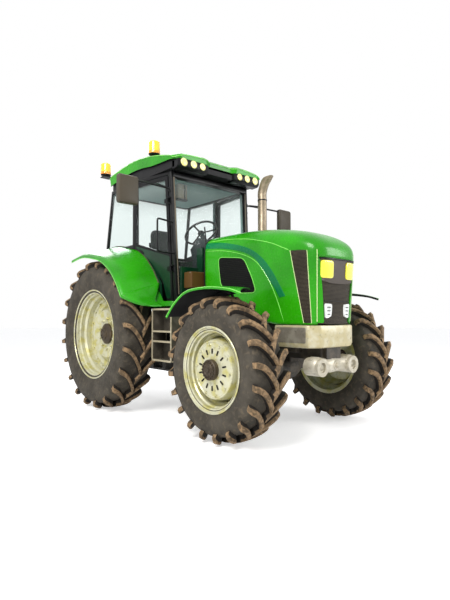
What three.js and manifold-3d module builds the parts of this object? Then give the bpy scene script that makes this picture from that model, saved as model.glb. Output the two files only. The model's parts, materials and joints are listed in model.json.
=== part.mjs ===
// A four-wheel-drive farm tractor with a glazed cab, in millimetres, +Z up.
// The front faces -Y and the tractor's left is +X. Sizes along Y are counted
// rearwards from the front axle, and the whole tractor is shifted at the end
// so that the origin lies under the middle of its outline.
import * as THREE from 'three';
import { mergeVertices } from 'three/addons/utils/BufferGeometryUtils.js';
import Module from 'manifold-3d';

const wasm = await Module();
wasm.setup();

// ---------------------------------------------------------------- clearances
const seat = 0.3;            // between two pieces that rest on each other
const running = 0.3;         // between a pin and the eye that turns on it
const moving = 8;            // between a moving piece and what it passes

// ---------------------------------------------------------- driving dimensions
const wheelbase = 2225;
const frontWheel = {
  radius: 668, width: 398, centreX: 853, shoulder: 26,
  seatRadius: 352, flangeRadius: 375, rimWidth: 340, flange: 12, barrel: 12,
  discRadius: 205, discRecess: 30, dishRadius: 305, dishRecess: 105, discThick: 16,
  hubRadius: 88, hubOut: 22, drumRadius: 128, drumIn: 205,
};
const rearWheel = {
  radius: 926, width: 440, centreX: 906, shoulder: 30,
  seatRadius: 512, flangeRadius: 540, rimWidth: 358, flange: 14, barrel: 14,
  discRadius: 250, discRecess: 150, dishRadius: 430, dishRecess: 95, discThick: 18,
  hubRadius: 105, hubOut: -95, drumRadius: 150, drumIn: 250,
};
const wheelSides = 28;       // facets round a tyre and its rim
const pinFacets = 12;        // facets round a pin and its eye
const kingpinX = 660;        // where the front wheels swivel
const nose = 686;            // grille ahead of the front axle
const hitchReach = wheelbase + 1227;  // lower link ends behind the front axle

const bumper = { halfWidth: 342, front: -nose + 46, rear: -150, low: 855, high: 1065, cut: 76 };
const floor = rearWheel.radius + 354;
const cab = {
  floor, floorThick: 42, belt: floor + 772, head: floor + 1576,
  front: wheelbase - 1075, doorRear: wheelbase - 300, rear: wheelbase + 415,
  tubHalf: 662, beltHalf: 702, frontHalf: 590, wall: 32, post: 56,
  frontLean: 90, rearLean: -120,
};
const hood = {
  halfWidth: 362, rear: cab.front - 245, low: bumper.high + 6, lowRear: bumper.high + 145,
  top: 2072, shoulder: 1935, wall: 18,
};
const roof = {
  halfWidth: 692, front: cab.front - 150, rear: cab.rear - 15, thick: 72, crown: 42,
};
const sill = { low: cab.floor - 22, high: cab.floor + 34, outer: 800 };
const fender = { thick: 20, inner: cab.tubHalf + seat, outer: 1150, slope: 0.3 };

// ------------------------------------------------------------------ materials
const paint = (color, roughness = 0.35, metalness = 0.1) =>
  new THREE.MeshStandardMaterial({ color, roughness, metalness });
const finish = {
  green: () => paint(0x2fa81a),
  darkGreen: () => paint(0x0f4a26, 0.4),
  black: () => paint(0x15161a, 0.5),
  cast: () => paint(0x4a4843, 0.6, 0.5),
  silver: () => paint(0xb9b3a2, 0.35, 0.7),
  rim: () => paint(0xd9d6bf, 0.35, 0.4),
  rubber: () => paint(0x2e2721, 0.85, 0),
  grille: () => paint(0x5f574e, 0.6, 0.2),
  lamp: () => paint(0xf2e21c, 0.25, 0),
  amber: () => paint(0xf4b400, 0.25, 0),
  glass: () => paint(0xbfd6d2, 0.05, 0),
  tan: () => paint(0x8b7a63, 0.45, 0.5),
  fabric: () => paint(0x26282b, 0.9, 0),
};

// -------------------------------------------------------------- solid helpers
function solidOf(geometry) {
  const bare = geometry.clone();
  bare.deleteAttribute('normal');
  bare.deleteAttribute('uv');
  const merged = mergeVertices(bare, 1e-3);
  return new wasm.Manifold(new wasm.Mesh({
    numProp: 3,
    vertProperties: new Float32Array(merged.attributes.position.array),
    triVerts: new Uint32Array(merged.index.array),
  }));
}

function geometryOf(solid) {
  const mesh = solid.getMesh();
  const geometry = new THREE.BufferGeometry();
  geometry.setAttribute('position', new THREE.BufferAttribute(mesh.vertProperties, 3));
  geometry.setIndex(new THREE.BufferAttribute(mesh.triVerts, 1));
  geometry.computeVertexNormals();
  return geometry;
}

const join = (...solids) => solids.reduce((whole, next) => whole.add(next));
const cut = (whole, ...tools) => tools.reduce((left, tool) => left.subtract(tool), whole);

function moved(geometry, x, y, z) {
  return geometry.translate(x, y, z);
}

function block(x0, x1, y0, y1, z0, z1) {
  const box = new THREE.BoxGeometry(Math.abs(x1 - x0), y1 - y0, z1 - z0);
  return solidOf(moved(box, (x0 + x1) / 2, (y0 + y1) / 2, (z0 + z1) / 2));
}

const flat = (points) => points.map(([u, v]) => new THREE.Vector2(u, v));
const outline = (points) => new THREE.Shape(flat(points));

// A rectangle with rounded corners, from its low to its high corner.
function roundedOutline(u0, v0, u1, v1, r) {
  const shape = new THREE.Shape();
  shape.moveTo(u0 + r, v0);
  shape.lineTo(u1 - r, v0);
  shape.absarc(u1 - r, v0 + r, r, -Math.PI / 2, 0, false);
  shape.lineTo(u1, v1 - r);
  shape.absarc(u1 - r, v1 - r, r, 0, Math.PI / 2, false);
  shape.lineTo(u0 + r, v1);
  shape.absarc(u0 + r, v1 - r, r, Math.PI / 2, Math.PI, false);
  shape.lineTo(u0, v0 + r);
  shape.absarc(u0 + r, v0 + r, r, Math.PI, 1.5 * Math.PI, false);
  return shape;
}

const bare = (depth, curveSegments = 8) => ({ depth, bevelEnabled: false, curveSegments });

// The outline's (u, v) become (y, z), drawn out from x0 to x1.
function alongX(shape, x0, x1, segments) {
  const geometry = new THREE.ExtrudeGeometry(shape, bare(x1 - x0, segments));
  geometry.applyMatrix4(new THREE.Matrix4().set(0, 0, 1, x0, 1, 0, 0, 0, 0, 1, 0, 0, 0, 0, 0, 1));
  return geometry;
}

// The outline's (u, v) become (x, z), drawn out from y0 to y1.
function alongY(shape, y0, y1, segments) {
  const geometry = new THREE.ExtrudeGeometry(shape, bare(y1 - y0, segments));
  geometry.applyMatrix4(new THREE.Matrix4().set(1, 0, 0, 0, 0, 0, -1, y1, 0, 1, 0, 0, 0, 0, 0, 1));
  return geometry;
}

// The outline's (u, v) become (x, y), drawn out from z0 to z1.
function alongZ(shape, z0, z1, segments) {
  return moved(new THREE.ExtrudeGeometry(shape, bare(z1 - z0, segments)), 0, 0, z0);
}

// A round bar between two points.
function bar(from, to, radius, facets = pinFacets) {
  const start = new THREE.Vector3(...from);
  const end = new THREE.Vector3(...to);
  const axis = end.clone().sub(start);
  const rod = new THREE.CylinderGeometry(radius, radius, axis.length(), facets);
  const up = new THREE.Vector3(0, 1, 0);
  rod.applyQuaternion(new THREE.Quaternion().setFromUnitVectors(up, axis.normalize()));
  return solidOf(moved(rod, ...start.add(end).multiplyScalar(0.5).toArray()));
}

// Size of a faceted eye that a round pin of a given radius turns in.
const eyeAround = (pin, facets) => (pin + running) / Math.cos(Math.PI / facets);

// A square post between two points whose sides face X and roughly Y.
function post(from, to, width, depth) {
  const [x0, y0, z0] = from;
  const [x1, y1, z1] = to;
  const box = new THREE.BoxGeometry(width, depth, z1 - z0);
  const shear = new THREE.Matrix4().set(
    1, 0, (x1 - x0) / (z1 - z0), (x0 + x1) / 2,
    0, 1, (y1 - y0) / (z1 - z0), (y0 + y1) / 2,
    0, 0, 1, (z0 + z1) / 2,
    0, 0, 0, 1);
  return solidOf(box.applyMatrix4(shear));
}

// Turns a (radius, along) profile round an axis parallel to X through (y, z).
// The profile may run either way round: it is put in the order that faces outwards.
function turned(profile, y, z, segments = 32) {
  const points = profile.map(([r, reach]) => new THREE.Vector2(r, reach));
  if (THREE.ShapeUtils.area(points) < 0) points.reverse();
  const geometry = new THREE.LatheGeometry(points, segments);
  return solidOf(moved(geometry.rotateZ(-Math.PI / 2), 0, y, z));
}

// A strip of even thickness that follows a curve drawn in (y, z).
function strip(curvePoints, thickness, steps = 26) {
  const curve = new THREE.SplineCurve(flat(curvePoints));
  const outer = curve.getPoints(steps);
  const inner = outer.map((point, i) => {
    const tangent = curve.getTangent(i / steps);
    return new THREE.Vector2(point.x + tangent.y * thickness, point.y - tangent.x * thickness);
  });
  return new THREE.Shape([...outer, ...inner.reverse()]);
}

// Points in (y, z) of an arch over a wheel: each is an angle in degrees, from 0 at
// the rear through 90 at the top, and its gap outside the tread.
function archOver(w, axleY, points) {
  return points.map(([angle, gap]) => {
    const turn = THREE.MathUtils.degToRad(angle);
    const reach = w.radius + gap;
    return [axleY + reach * Math.cos(turn), w.radius + reach * Math.sin(turn)];
  });
}

const parts = [];

function add(name, solidOrGeometry, material) {
  const geometry = solidOrGeometry.isBufferGeometry ? solidOrGeometry : geometryOf(solidOrGeometry);
  const mesh = new THREE.Mesh(geometry, material);
  mesh.name = name;
  parts.push(mesh);
}

const sides = [
  { name: 'right', sign: -1 },
  { name: 'left', sign: 1 },
];

// Mirrors a solid made for the left side when the right side is wanted.
function onSide(solid, sign) {
  return sign > 0 ? solid : solid.mirror([1, 0, 0]);
}

// ------------------------------------------------------------------- wheels
function tyreProfile(w) {
  const half = w.width / 2;
  const bead = w.rimWidth / 2 - w.flange - seat;
  const side = [
    [w.seatRadius, bead],
    [w.flangeRadius + 4, bead],
    [w.flangeRadius + 30, half - 12],
    [w.radius - w.shoulder, half],
    [w.radius, half - 1.4 * w.shoulder],
  ];
  const far = side.map(([r, x]) => [r, -x]).reverse();
  return [...side, ...far, side[0]];
}

function rimProfile(w) {
  const half = w.rimWidth / 2;
  const seatR = w.seatRadius - seat;
  const barrelIn = seatR - w.barrel;
  const disc = half - w.discRecess;
  const dish = half - w.dishRecess;
  return [
    [0, half + w.hubOut],
    [w.hubRadius, half + w.hubOut],
    [w.hubRadius + 12, disc],
    [w.discRadius, disc],
    [w.dishRadius, dish],
    [barrelIn, dish],
    [barrelIn, half - 16],
    [w.flangeRadius - 6, half],
    [w.flangeRadius, half - 4],
    [w.flangeRadius, half - w.flange],
    [seatR, half - w.flange],
    [seatR, -half + w.flange],
    [w.flangeRadius, -half + w.flange],
    [w.flangeRadius - 4, -half],
    [barrelIn, -half + 12],
    [barrelIn, dish - w.discThick],
    [w.dishRadius, dish - w.discThick],
    [w.discRadius, disc - w.discThick],
    [w.drumRadius, disc - w.discThick],
    [w.drumRadius, half - w.drumIn],
    [0, half - w.drumIn],
  ];
}

function wheel(end, w, axleY, side) {
  const place = (profile) => {
    const solid = turned(profile, axleY, w.radius, wheelSides);
    return onSide(solid.translate([w.centreX, 0, 0]), side.sign);
  };
  add(`${end}_tyre_${side.name}`, place(tyreProfile(w)), finish.rubber());
  add(`${end}_rim_${side.name}`, place(rimProfile(w)), finish.rim());
}

for (const side of sides) {
  wheel('front', frontWheel, 0, side);
  wheel('rear', rearWheel, wheelbase, side);
}

// ------------------------------------------------------- front axle, knuckles
const axleZ = frontWheel.radius;
const ear = { half: 42, depth: 52, high: 34, gap: 200 };
const drumEnd = frontWheel.centreX + frontWheel.rimWidth / 2 - frontWheel.drumIn;

function frontAxle() {
  const beamEnd = kingpinX - 62;
  const half = (sign) => onSide(join(
    block(60, beamEnd, -58, 58, axleZ - 70, axleZ + 62),
    block(beamEnd - 40, beamEnd, -58, 58, axleZ - ear.gap / 2 - ear.high, axleZ + ear.gap / 2 + ear.high),
    block(beamEnd - 20, kingpinX + ear.half, -ear.depth, ear.depth,
      axleZ + ear.gap / 2, axleZ + ear.gap / 2 + ear.high),
    block(beamEnd - 20, kingpinX + ear.half, -ear.depth, ear.depth,
      axleZ - ear.gap / 2 - ear.high, axleZ - ear.gap / 2),
  ), sign);
  const casing = turned([[0, -170], [70, -170], [112, -90], [118, 0], [112, 90], [70, 170], [0, 170]],
    0, axleZ - 48, 20);
  const pivot = block(-60, 60, -120, 120, axleZ + 20, frame.low - seat);
  return join(half(1), half(-1), casing, pivot);
}

const fenderArm = {
  y: 118, radius: 17, postX: 622, z: axleZ + 188, knee: axleZ + 650, top: axleZ + 750,
};

function knuckle(sign) {
  const swivel = bar([kingpinX, 0, axleZ - ear.gap / 2 + running],
    [kingpinX, 0, axleZ + ear.gap / 2 - running], 46, 16);
  const spindle = bar([kingpinX, 0, axleZ], [drumEnd - running, 0, axleZ], 82, 20);
  const trimmed = cut(spindle, block(kingpinX - 100, kingpinX - 30, -90, 90, axleZ - 90, axleZ + 90));
  const arm = join(
    bar([kingpinX + 8, 0, axleZ + 40], [kingpinX, fenderArm.y, axleZ + 60], 20),
    bar([kingpinX, fenderArm.y, axleZ + 50], [kingpinX, fenderArm.y, fenderArm.z + 16], fenderArm.radius),
    bar([kingpinX + fenderArm.radius, fenderArm.y, fenderArm.z],
      [fenderArm.postX - fenderArm.radius, fenderArm.y, fenderArm.z], fenderArm.radius),
  );
  return onSide(join(swivel, trimmed, arm), sign);
}

// ---------------------------------------------------------------- front fenders
const frontFender = { inner: 661, outer: 1072, thick: 12 };
const frontFenderLine = archOver(frontWheel, 0, [
  [123.5, 158], [111.6, 119], [90, 89], [67.7, 121], [51.2, 130], [37, 135],
]);

function frontFenderSolid(sign) {
  const sheet = strip(frontFenderLine, frontFender.thick);
  const shell = solidOf(alongX(sheet, frontFender.inner, frontFender.outer));
  const knee = [fenderArm.postX + 4, fenderArm.y, fenderArm.knee];
  const foot = [fenderArm.postX, fenderArm.y, fenderArm.z + fenderArm.radius + seat];
  const top = [fenderArm.postX + 90, fenderArm.y, fenderArm.top];
  const stem = join(bar(foot, knee, fenderArm.radius - 2), bar(knee, top, fenderArm.radius - 2));
  return onSide(join(shell, stem), sign);
}

// -------------------------------------------------- frame, engine and drivetrain
const rearAxleZ = rearWheel.radius;
const frame = { half: 150, low: 742, high: bumper.low - seat, front: -560, rear: 470, saddle: 60 };
const crossTube = { y: frame.front, z: frame.low - 52, radius: 68, half: 310, boss: 84, bossX: 242 };
const engine = { half: 230, front: -330, rear: cab.front - 140, low: 620, high: 1620 };
const gearbox = { half: 190, rear: wheelbase - 225, low: rearAxleZ - 366, high: rearAxleZ + 254 };
const axleHousing = {
  half: 250, rear: wheelbase + 275, low: rearAxleZ - 386, high: rearAxleZ + 264,
  trumpet: 118, flange: 150,
};

function frontFrame() {
  const { y, z } = crossTube;
  const rails = block(-frame.half, frame.half, frame.front, engine.front - seat, frame.low, frame.high);
  const saddle = block(-frame.half, frame.half, engine.front - 10, frame.rear,
    frame.low, frame.low + frame.saddle);
  const tube = bar([-crossTube.half, y, z], [crossTube.half, y, z], crossTube.radius, 16);
  const ahead = (x, from, to, radius) => bar([x, y + from, z - 6], [x, y + to, z - 6], radius, 16);
  const bosses = [-1, 1].map((sign) => ahead(sign * crossTube.bossX, -96, 70, crossTube.boss));
  const eyes = [-1, 1].map((sign) => ahead(sign * crossTube.bossX, -120, -50, 46));
  const knob = bar([0, y - 80, z], [0, y, z], 46, 12);
  const web = block(-110, 110, y - 40, y + 140, z, frame.high);
  const body = join(rails, saddle, tube, ...bosses, knob, web);
  return cut(body, ...eyes);
}

function engineBlock() {
  const base = frame.low + frame.saddle + seat;
  const core = block(-engine.half, engine.half, engine.front, engine.rear, base, engine.high);
  const pan = block(-engine.half + 60, engine.half - 60, frame.rear + seat, engine.rear,
    engine.low, base + 1);
  return join(core, pan);
}

// One side of the axle trumpets, from the middle out to the wheel hub, as (radius, along).
function trumpetHalf() {
  const { half, trumpet, flange } = axleHousing;
  const hubFace = rearWheel.centreX + rearWheel.rimWidth / 2 - rearWheel.drumIn - running;
  return [
    [trumpet, half + 320], [flange, half + 345], [flange, half + 390],
    [70, half + 390], [70, hubFace], [0, hubFace],
  ];
}

function drivetrain() {
  const { half, rear, low, high } = axleHousing;
  const box = block(-gearbox.half, gearbox.half, engine.rear + seat, gearbox.rear,
    gearbox.low, gearbox.high);
  const housing = solidOf(alongX(
    roundedOutline(gearbox.rear - 20, low, rear, high, 60), -half, half));
  const outer = trumpetHalf();
  const inner = outer.map(([r, along]) => [r, -along]).reverse();
  const trumpets = turned([...inner, [axleHousing.trumpet + 40, 0], ...outer], wheelbase, rearAxleZ, 20);
  const pto = rearAxleZ - 286;
  const ptoStub = bar([0, rear - 10, pto], [0, rear + 92, pto], 20);
  const ptoGuard = solidOf(alongY(outline([
    [-110, pto], [-92, pto + 120], [92, pto + 120], [110, pto],
    [100, pto], [82, pto + 110], [-82, pto + 110], [-100, pto],
  ]), rear - 10, rear + 120));
  const topBracket = cut(
    block(-45, 45, rear - 10, rear + 90, rearAxleZ - 26, rearAxleZ + 154),
    block(-22, 22, rear + 8, rear + 120, rearAxleZ - 46, rearAxleZ + 174));
  const mounts = [-1, 1].map((sign) => block(sign * 150, sign * 240, wheelbase - 665, wheelbase - 525,
    gearbox.high - 10, cab.floor - cab.floorThick - seat));
  const pinEnd = link.x + link.half + 14;
  const linkLugs = [-1, 1].map((sign) => join(
    block(sign * 230, sign * 272, link.pivotY - 60, link.pivotY + 34, link.pivotZ - 40, link.pivotZ + 40),
    bar([sign * 230, link.pivotY, link.pivotZ], [sign * pinEnd, link.pivotY, link.pivotZ], linkPin)));
  const { pivotY, pivotZ } = liftArm;
  const rockshaft = [-1, 1].map((sign) => join(
    block(sign * 120, sign * 262, pivotY - 110, pivotY + 34, pivotZ - 60, pivotZ + 48),
    bar([sign * 120, pivotY, pivotZ], [sign * pinEnd, pivotY, pivotZ], armPin)));
  return join(box, housing, trumpets, ptoStub, ptoGuard, topBracket,
    ...mounts, ...linkLugs, ...rockshaft);
}

// ------------------------------------------------------------- rear linkage
const link = {
  x: 300, half: 20, pivotY: axleHousing.rear + 20, pivotZ: rearAxleZ - 326,
  endY: hitchReach - 42, endZ: rearAxleZ - 374,
};
const linkSlope = Math.atan2(link.endZ - link.pivotZ, link.endY - link.pivotY);
const liftArm = { length: 420, pivotY: axleHousing.rear, pivotZ: rearAxleZ + 224 };
const rodX = link.x + link.half + 6;
const rodWide = 34;
const linkPin = 17;
const armPin = 20;
const rodPin = 15;

const onLine = (y, z, reach) => [y + reach * Math.cos(linkSlope), z + reach * Math.sin(linkSlope)];
const armEnd = onLine(liftArm.pivotY, liftArm.pivotZ, liftArm.length);
const linkEye = onLine(link.pivotY, link.pivotZ, liftArm.length);

// A flat arm with round ends between two points of the (y, z) plane.
function flatArm(from, to, r0, r1, x0, x1) {
  const [y0, z0] = from;
  const [y1, z1] = to;
  const turn = Math.atan2(z1 - z0, y1 - y0);
  const shape = new THREE.Shape();
  shape.absarc(y0, z0, r0, turn + Math.PI / 2, turn + 1.5 * Math.PI, false);
  shape.absarc(y1, z1, r1, turn - Math.PI / 2, turn + Math.PI / 2, false);
  return solidOf(alongX(shape, x0, x1, 4));
}

function eyeHole(at, pin, x0, x1) {
  return bar([x0 - 5, at[0], at[1]], [x1 + 5, at[0], at[1]], eyeAround(pin, pinFacets));
}

function lowerLinks() {
  const left = cut(
    flatArm([link.pivotY, link.pivotZ], [link.endY, link.endZ], 40, 36,
      link.x - link.half, link.x + link.half),
    eyeHole([link.pivotY, link.pivotZ], linkPin, link.x - link.half, link.x + link.half));
  const pin = bar([link.x, ...linkEye], [rodX + rodWide + 4, ...linkEye], rodPin);
  const one = join(left, pin);
  const crossBar = bar([-430, link.endY, link.endZ], [430, link.endY, link.endZ], 27, 12);
  return join(one, one.mirror([1, 0, 0]), crossBar);
}

function liftArms() {
  const one = join(
    cut(
      flatArm([liftArm.pivotY, liftArm.pivotZ], armEnd, 46, 34, link.x - link.half, link.x + link.half),
      eyeHole([liftArm.pivotY, liftArm.pivotZ], armPin, link.x - link.half, link.x + link.half)),
    bar([link.x, ...armEnd], [rodX + rodWide + 4, ...armEnd], rodPin));
  const tieY = liftArm.pivotY + 190;
  const tieZ = liftArm.pivotZ + 190 * Math.tan(linkSlope);
  const tie = bar([-link.x, tieY, tieZ], [link.x, tieY, tieZ], 20);
  return join(one, one.mirror([1, 0, 0]), tie);
}

function liftRod(sign) {
  const body = flatArm(armEnd, linkEye, 32, 32, rodX, rodX + rodWide);
  const holes = [armEnd, linkEye].map((at) => eyeHole(at, rodPin, rodX, rodX + rodWide));
  return onSide(cut(body, ...holes), sign);
}

function drawbar() {
  const low = axleHousing.low - 148;
  const high = low + 36;
  const plate = block(-42, 42, wheelbase - 185, hitchReach - 242, low, high);
  const hangers = [-145, 155].map((y) => block(-90, 90, wheelbase + y, wheelbase + y + 80,
    high - 8, axleHousing.low - seat));
  const holeY = hitchReach - 292;
  const hole = bar([0, holeY, low - 12], [0, holeY, high + 12], 16, 12);
  return cut(join(plate, ...hangers), hole);
}

// ------------------------------------------------------------------ bumper
function frontBumper() {
  const b = bumper;
  const plan = outline([
    [-b.halfWidth, b.rear], [-b.halfWidth, b.front + b.cut], [-b.halfWidth + b.cut * 1.2, b.front],
    [b.halfWidth - b.cut * 1.2, b.front], [b.halfWidth, b.front + b.cut], [b.halfWidth, b.rear],
  ]);
  const solid = solidOf(alongZ(plan, b.low, b.high));
  const chin = solidOf(alongX(outline([
    [b.front - 10, b.low - 10], [b.front + 36, b.low - 10], [b.front - 10, b.low + 40],
  ]), -b.halfWidth - 10, b.halfWidth + 10));
  const engineBay = block(-engine.half - 8, engine.half + 8, engine.front - 8, b.rear + 20,
    b.low - 10, b.high + 10);
  return cut(solid, chin, engineBay);
}

// -------------------------------------------------------------------- hood
// Side outline of the hood in (y, z), grown or shrunk by an inset.
function hoodSide(inset) {
  const shape = new THREE.Shape();
  shape.moveTo(hood.rear + inset, hood.lowRear - inset * 2);
  shape.lineTo(-190, hood.low - inset * 2);
  const top = hood.top - inset;
  shape.lineTo(bumper.front + inset, hood.low - inset * 2);
  shape.lineTo(-nose + inset, hood.top - 372);
  shape.quadraticCurveTo(-nose + inset, top - 212, -nose + 126 + inset, top - 167);
  shape.bezierCurveTo(-330, top - 72, 0, top - 22, 330, top - 8);
  shape.lineTo(hood.rear + inset, top);
  return shape;
}

// Cross outline of the hood in (x, z), with rolled top edges.
function hoodCross(inset) {
  const w = hood.halfWidth - inset;
  const waist = w - 22;
  const top = hood.top + 10 - inset;
  const shape = new THREE.Shape();
  shape.moveTo(-waist, hood.low - 60);
  shape.lineTo(waist, hood.low - 60);
  shape.lineTo(w, 1640);
  shape.lineTo(w - 4, hood.shoulder - 40);
  shape.bezierCurveTo(w - 10, hood.shoulder + 60, w - 90, top - 24, 0, top);
  shape.bezierCurveTo(-w + 90, top - 24, -w + 10, hood.shoulder + 60, -w + 4, hood.shoulder - 40);
  shape.lineTo(-w, 1640);
  return shape;
}

// Plan outline of the hood in (x, y), narrower and rounded at the nose.
function hoodPlan(inset) {
  const w = hood.halfWidth + 1 - inset;
  const front = -nose - 1 + inset;
  const shape = new THREE.Shape();
  shape.moveTo(w, hood.rear + 1 + inset);
  shape.lineTo(-w, hood.rear + 1 + inset);
  shape.lineTo(-w, -420);
  shape.quadraticCurveTo(-w + 8, front + 58, -w + 78, front + 20);
  shape.quadraticCurveTo(0, front - 18, w - 78, front + 20);
  shape.quadraticCurveTo(w - 8, front + 58, w, -420);
  return shape;
}

function hoodForm(inset) {
  const side = solidOf(alongX(hoodSide(inset), -hood.halfWidth - 20, hood.halfWidth + 20, 10));
  const cross = solidOf(alongY(hoodCross(inset), -nose - 30, hood.rear + 40, 10));
  const plan = solidOf(alongZ(hoodPlan(inset), hood.low - 80, hood.top + 60, 10));
  return side.intersect(cross).intersect(plan);
}

const grille = { half: 280, low: bumper.high + 25, high: hood.top - 392, depth: 34 };
const headlamp = { inner: 105, outer: 268, low: grille.high - 185, high: grille.high - 20, depth: 60 };
const hinge = { y: hood.rear + 53, z: hood.top - 66, radius: 13, half: 190, armX: 140 };

// A block that reaches from ahead of the nose to well behind the grille.
const noseBlock = (x0, x1, z0, z1) => block(x0, x1, -nose - 40, -nose + 206, z0, z1);

function hoodShell() {
  const shell = cut(hoodForm(0), hoodForm(hood.wall));
  const mouth = noseBlock(-grille.half, grille.half, grille.low, grille.high);
  const arms = [-1, 1].map((sign) => cut(
    solidOf(alongX(outline([[hinge.y - 150, hood.top - 40], [hinge.y - 60, hood.top - 24],
      [hinge.y + 20, hinge.z + 20], [hinge.y + 20, hinge.z - 22], [hinge.y - 22, hinge.z - 22],
      [hinge.y - 60, hood.top - 62]]), sign * hinge.armX - 12, sign * hinge.armX + 12)),
    bar([sign * hinge.armX - 20, hinge.y, hinge.z], [sign * hinge.armX + 20, hinge.y, hinge.z],
      eyeAround(hinge.radius, pinFacets))));
  return join(cut(shell, mouth), ...arms);
}

function frontGrille() {
  const form = hoodForm(6);
  const inside = hoodForm(grille.depth);
  const panel = noseBlock(-grille.half + seat, grille.half - seat, grille.low + seat, grille.high - seat);
  const lamps = [-1, 1].map((sign) => noseBlock(
    sign * (headlamp.inner - seat), sign * (headlamp.outer + seat),
    headlamp.low - seat, headlamp.high + seat));
  return cut(form.intersect(panel).subtract(inside), ...lamps);
}

function headlampSolid(sign) {
  const body = noseBlock(sign * headlamp.inner, sign * headlamp.outer, headlamp.low, headlamp.high);
  return hoodForm(3).intersect(body).subtract(hoodForm(headlamp.depth));
}

// -------------------------------------------------------------- cab structure
const rearFenderLine = archOver(rearWheel, wheelbase, [
  [151.4, 46], [146.3, 41], [137.9, 41], [125, 45], [110.7, 49], [96.2, 51], [79.1, 102], [62, 182],
]);

// Top of the fender at its cab edge, above the line of its outer edge.
const cabEdgeRise = fender.slope * (fender.outer - fender.inner);

function fenderCurve(rise) {
  return new THREE.SplineCurve(flat(rearFenderLine.map(([y, z]) => [y, z + rise])));
}

function fenderShear() {
  return new THREE.Matrix4().set(
    1, 0, 0, 0,
    0, 1, 0, 0,
    -fender.slope, 0, 1, fender.slope * fender.outer,
    0, 0, 0, 1);
}

function rearFender(sign) {
  const sheet = alongX(strip(rearFenderLine, fender.thick, 30), fender.inner, fender.outer);
  const shell = solidOf(sheet.applyMatrix4(fenderShear()));
  const [[toeY, toeZ], [heelY, heelZ]] = rearFenderLine;
  const sillPlate = block(fender.inner, sill.outer, hood.rear, toeY - 50, sill.low, sill.high);
  const riser = alongX(outline([[toeY - 90, cab.floor - 160], [toeY - 50, cab.floor - 160],
    [heelY, heelZ - 14], [toeY, toeZ]]), fender.inner, sill.outer);
  const toe = solidOf(riser.applyMatrix4(fenderShear()));
  const beltNotch = block(fender.inner - 20, cab.beltHalf + seat, cab.doorRear - 34, cab.rear + 140,
    cab.belt - 120, cab.belt + 80);
  return onSide(cut(join(shell, sillPlate, toe), beltNotch), sign);
}

// The side wall of the tub follows the fender's cab edge, up to the cab frame.
const wallTop = cab.belt - 62;
function sideWallOutline() {
  const edge = fenderCurve(cabEdgeRise).getPoints(30).filter((p) => p.x < cab.rear - 20);
  const top = edge.map((p) => [p.x, Math.min(p.y, wallTop)]);
  return outline([[cab.rear, cab.floor - 1], [cab.rear, wallTop], ...top.reverse(),
    [top[top.length - 1][0] - 30, cab.floor - 1]]);
}

function cabTub() {
  const under = cab.floor - cab.floorThick;
  const pan = block(-cab.tubHalf, cab.tubHalf, cab.front - 40, cab.rear, under, cab.floor);
  const walls = [-1, 1].map((sign) => onSide(
    solidOf(alongX(sideWallOutline(), cab.tubHalf - cab.wall, cab.tubHalf)), sign));
  const back = block(-cab.tubHalf, cab.tubHalf, cab.rear - cab.wall, cab.rear, cab.floor - 1, wallTop);
  const cowl = block(-300, 300, engine.rear + 6, cab.front - 30, under, hood.top - 120);
  const lugs = [-1, 1].map((sign) => block(sign * 165, sign * 190, hinge.y - 22, engine.rear + 30,
    hinge.z - 100, hinge.z + 20));
  const pin = bar([-hinge.half, hinge.y, hinge.z], [hinge.half, hinge.y, hinge.z], hinge.radius, 12);
  const stand = block(-190, 190, engine.rear + 6, engine.rear + 30, hinge.z - 106, hinge.z + 20);
  return join(pan, ...walls, back, cowl, ...lugs, pin, stand);
}

// Points on the cab's four corner posts at a height, for the left side.
const between = (low, high, z, z0, z1) => low + (high - low) * (z - z0) / (z1 - z0);
const frontPost = (z) => [
  between(cab.frontHalf - 26, cab.frontHalf, z, cab.floor, cab.head),
  between(cab.front, cab.front + cab.frontLean, z, cab.floor, cab.head), z];
const rearPost = (z) => [
  between(cab.beltHalf - 34, cab.beltHalf - 50, z, cab.belt, cab.head),
  between(cab.rear + 14, cab.rear + 14 + cab.rearLean, z, cab.belt, cab.head), z];
const midPost = (z) => [cab.beltHalf - 30, cab.doorRear, z];

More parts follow.
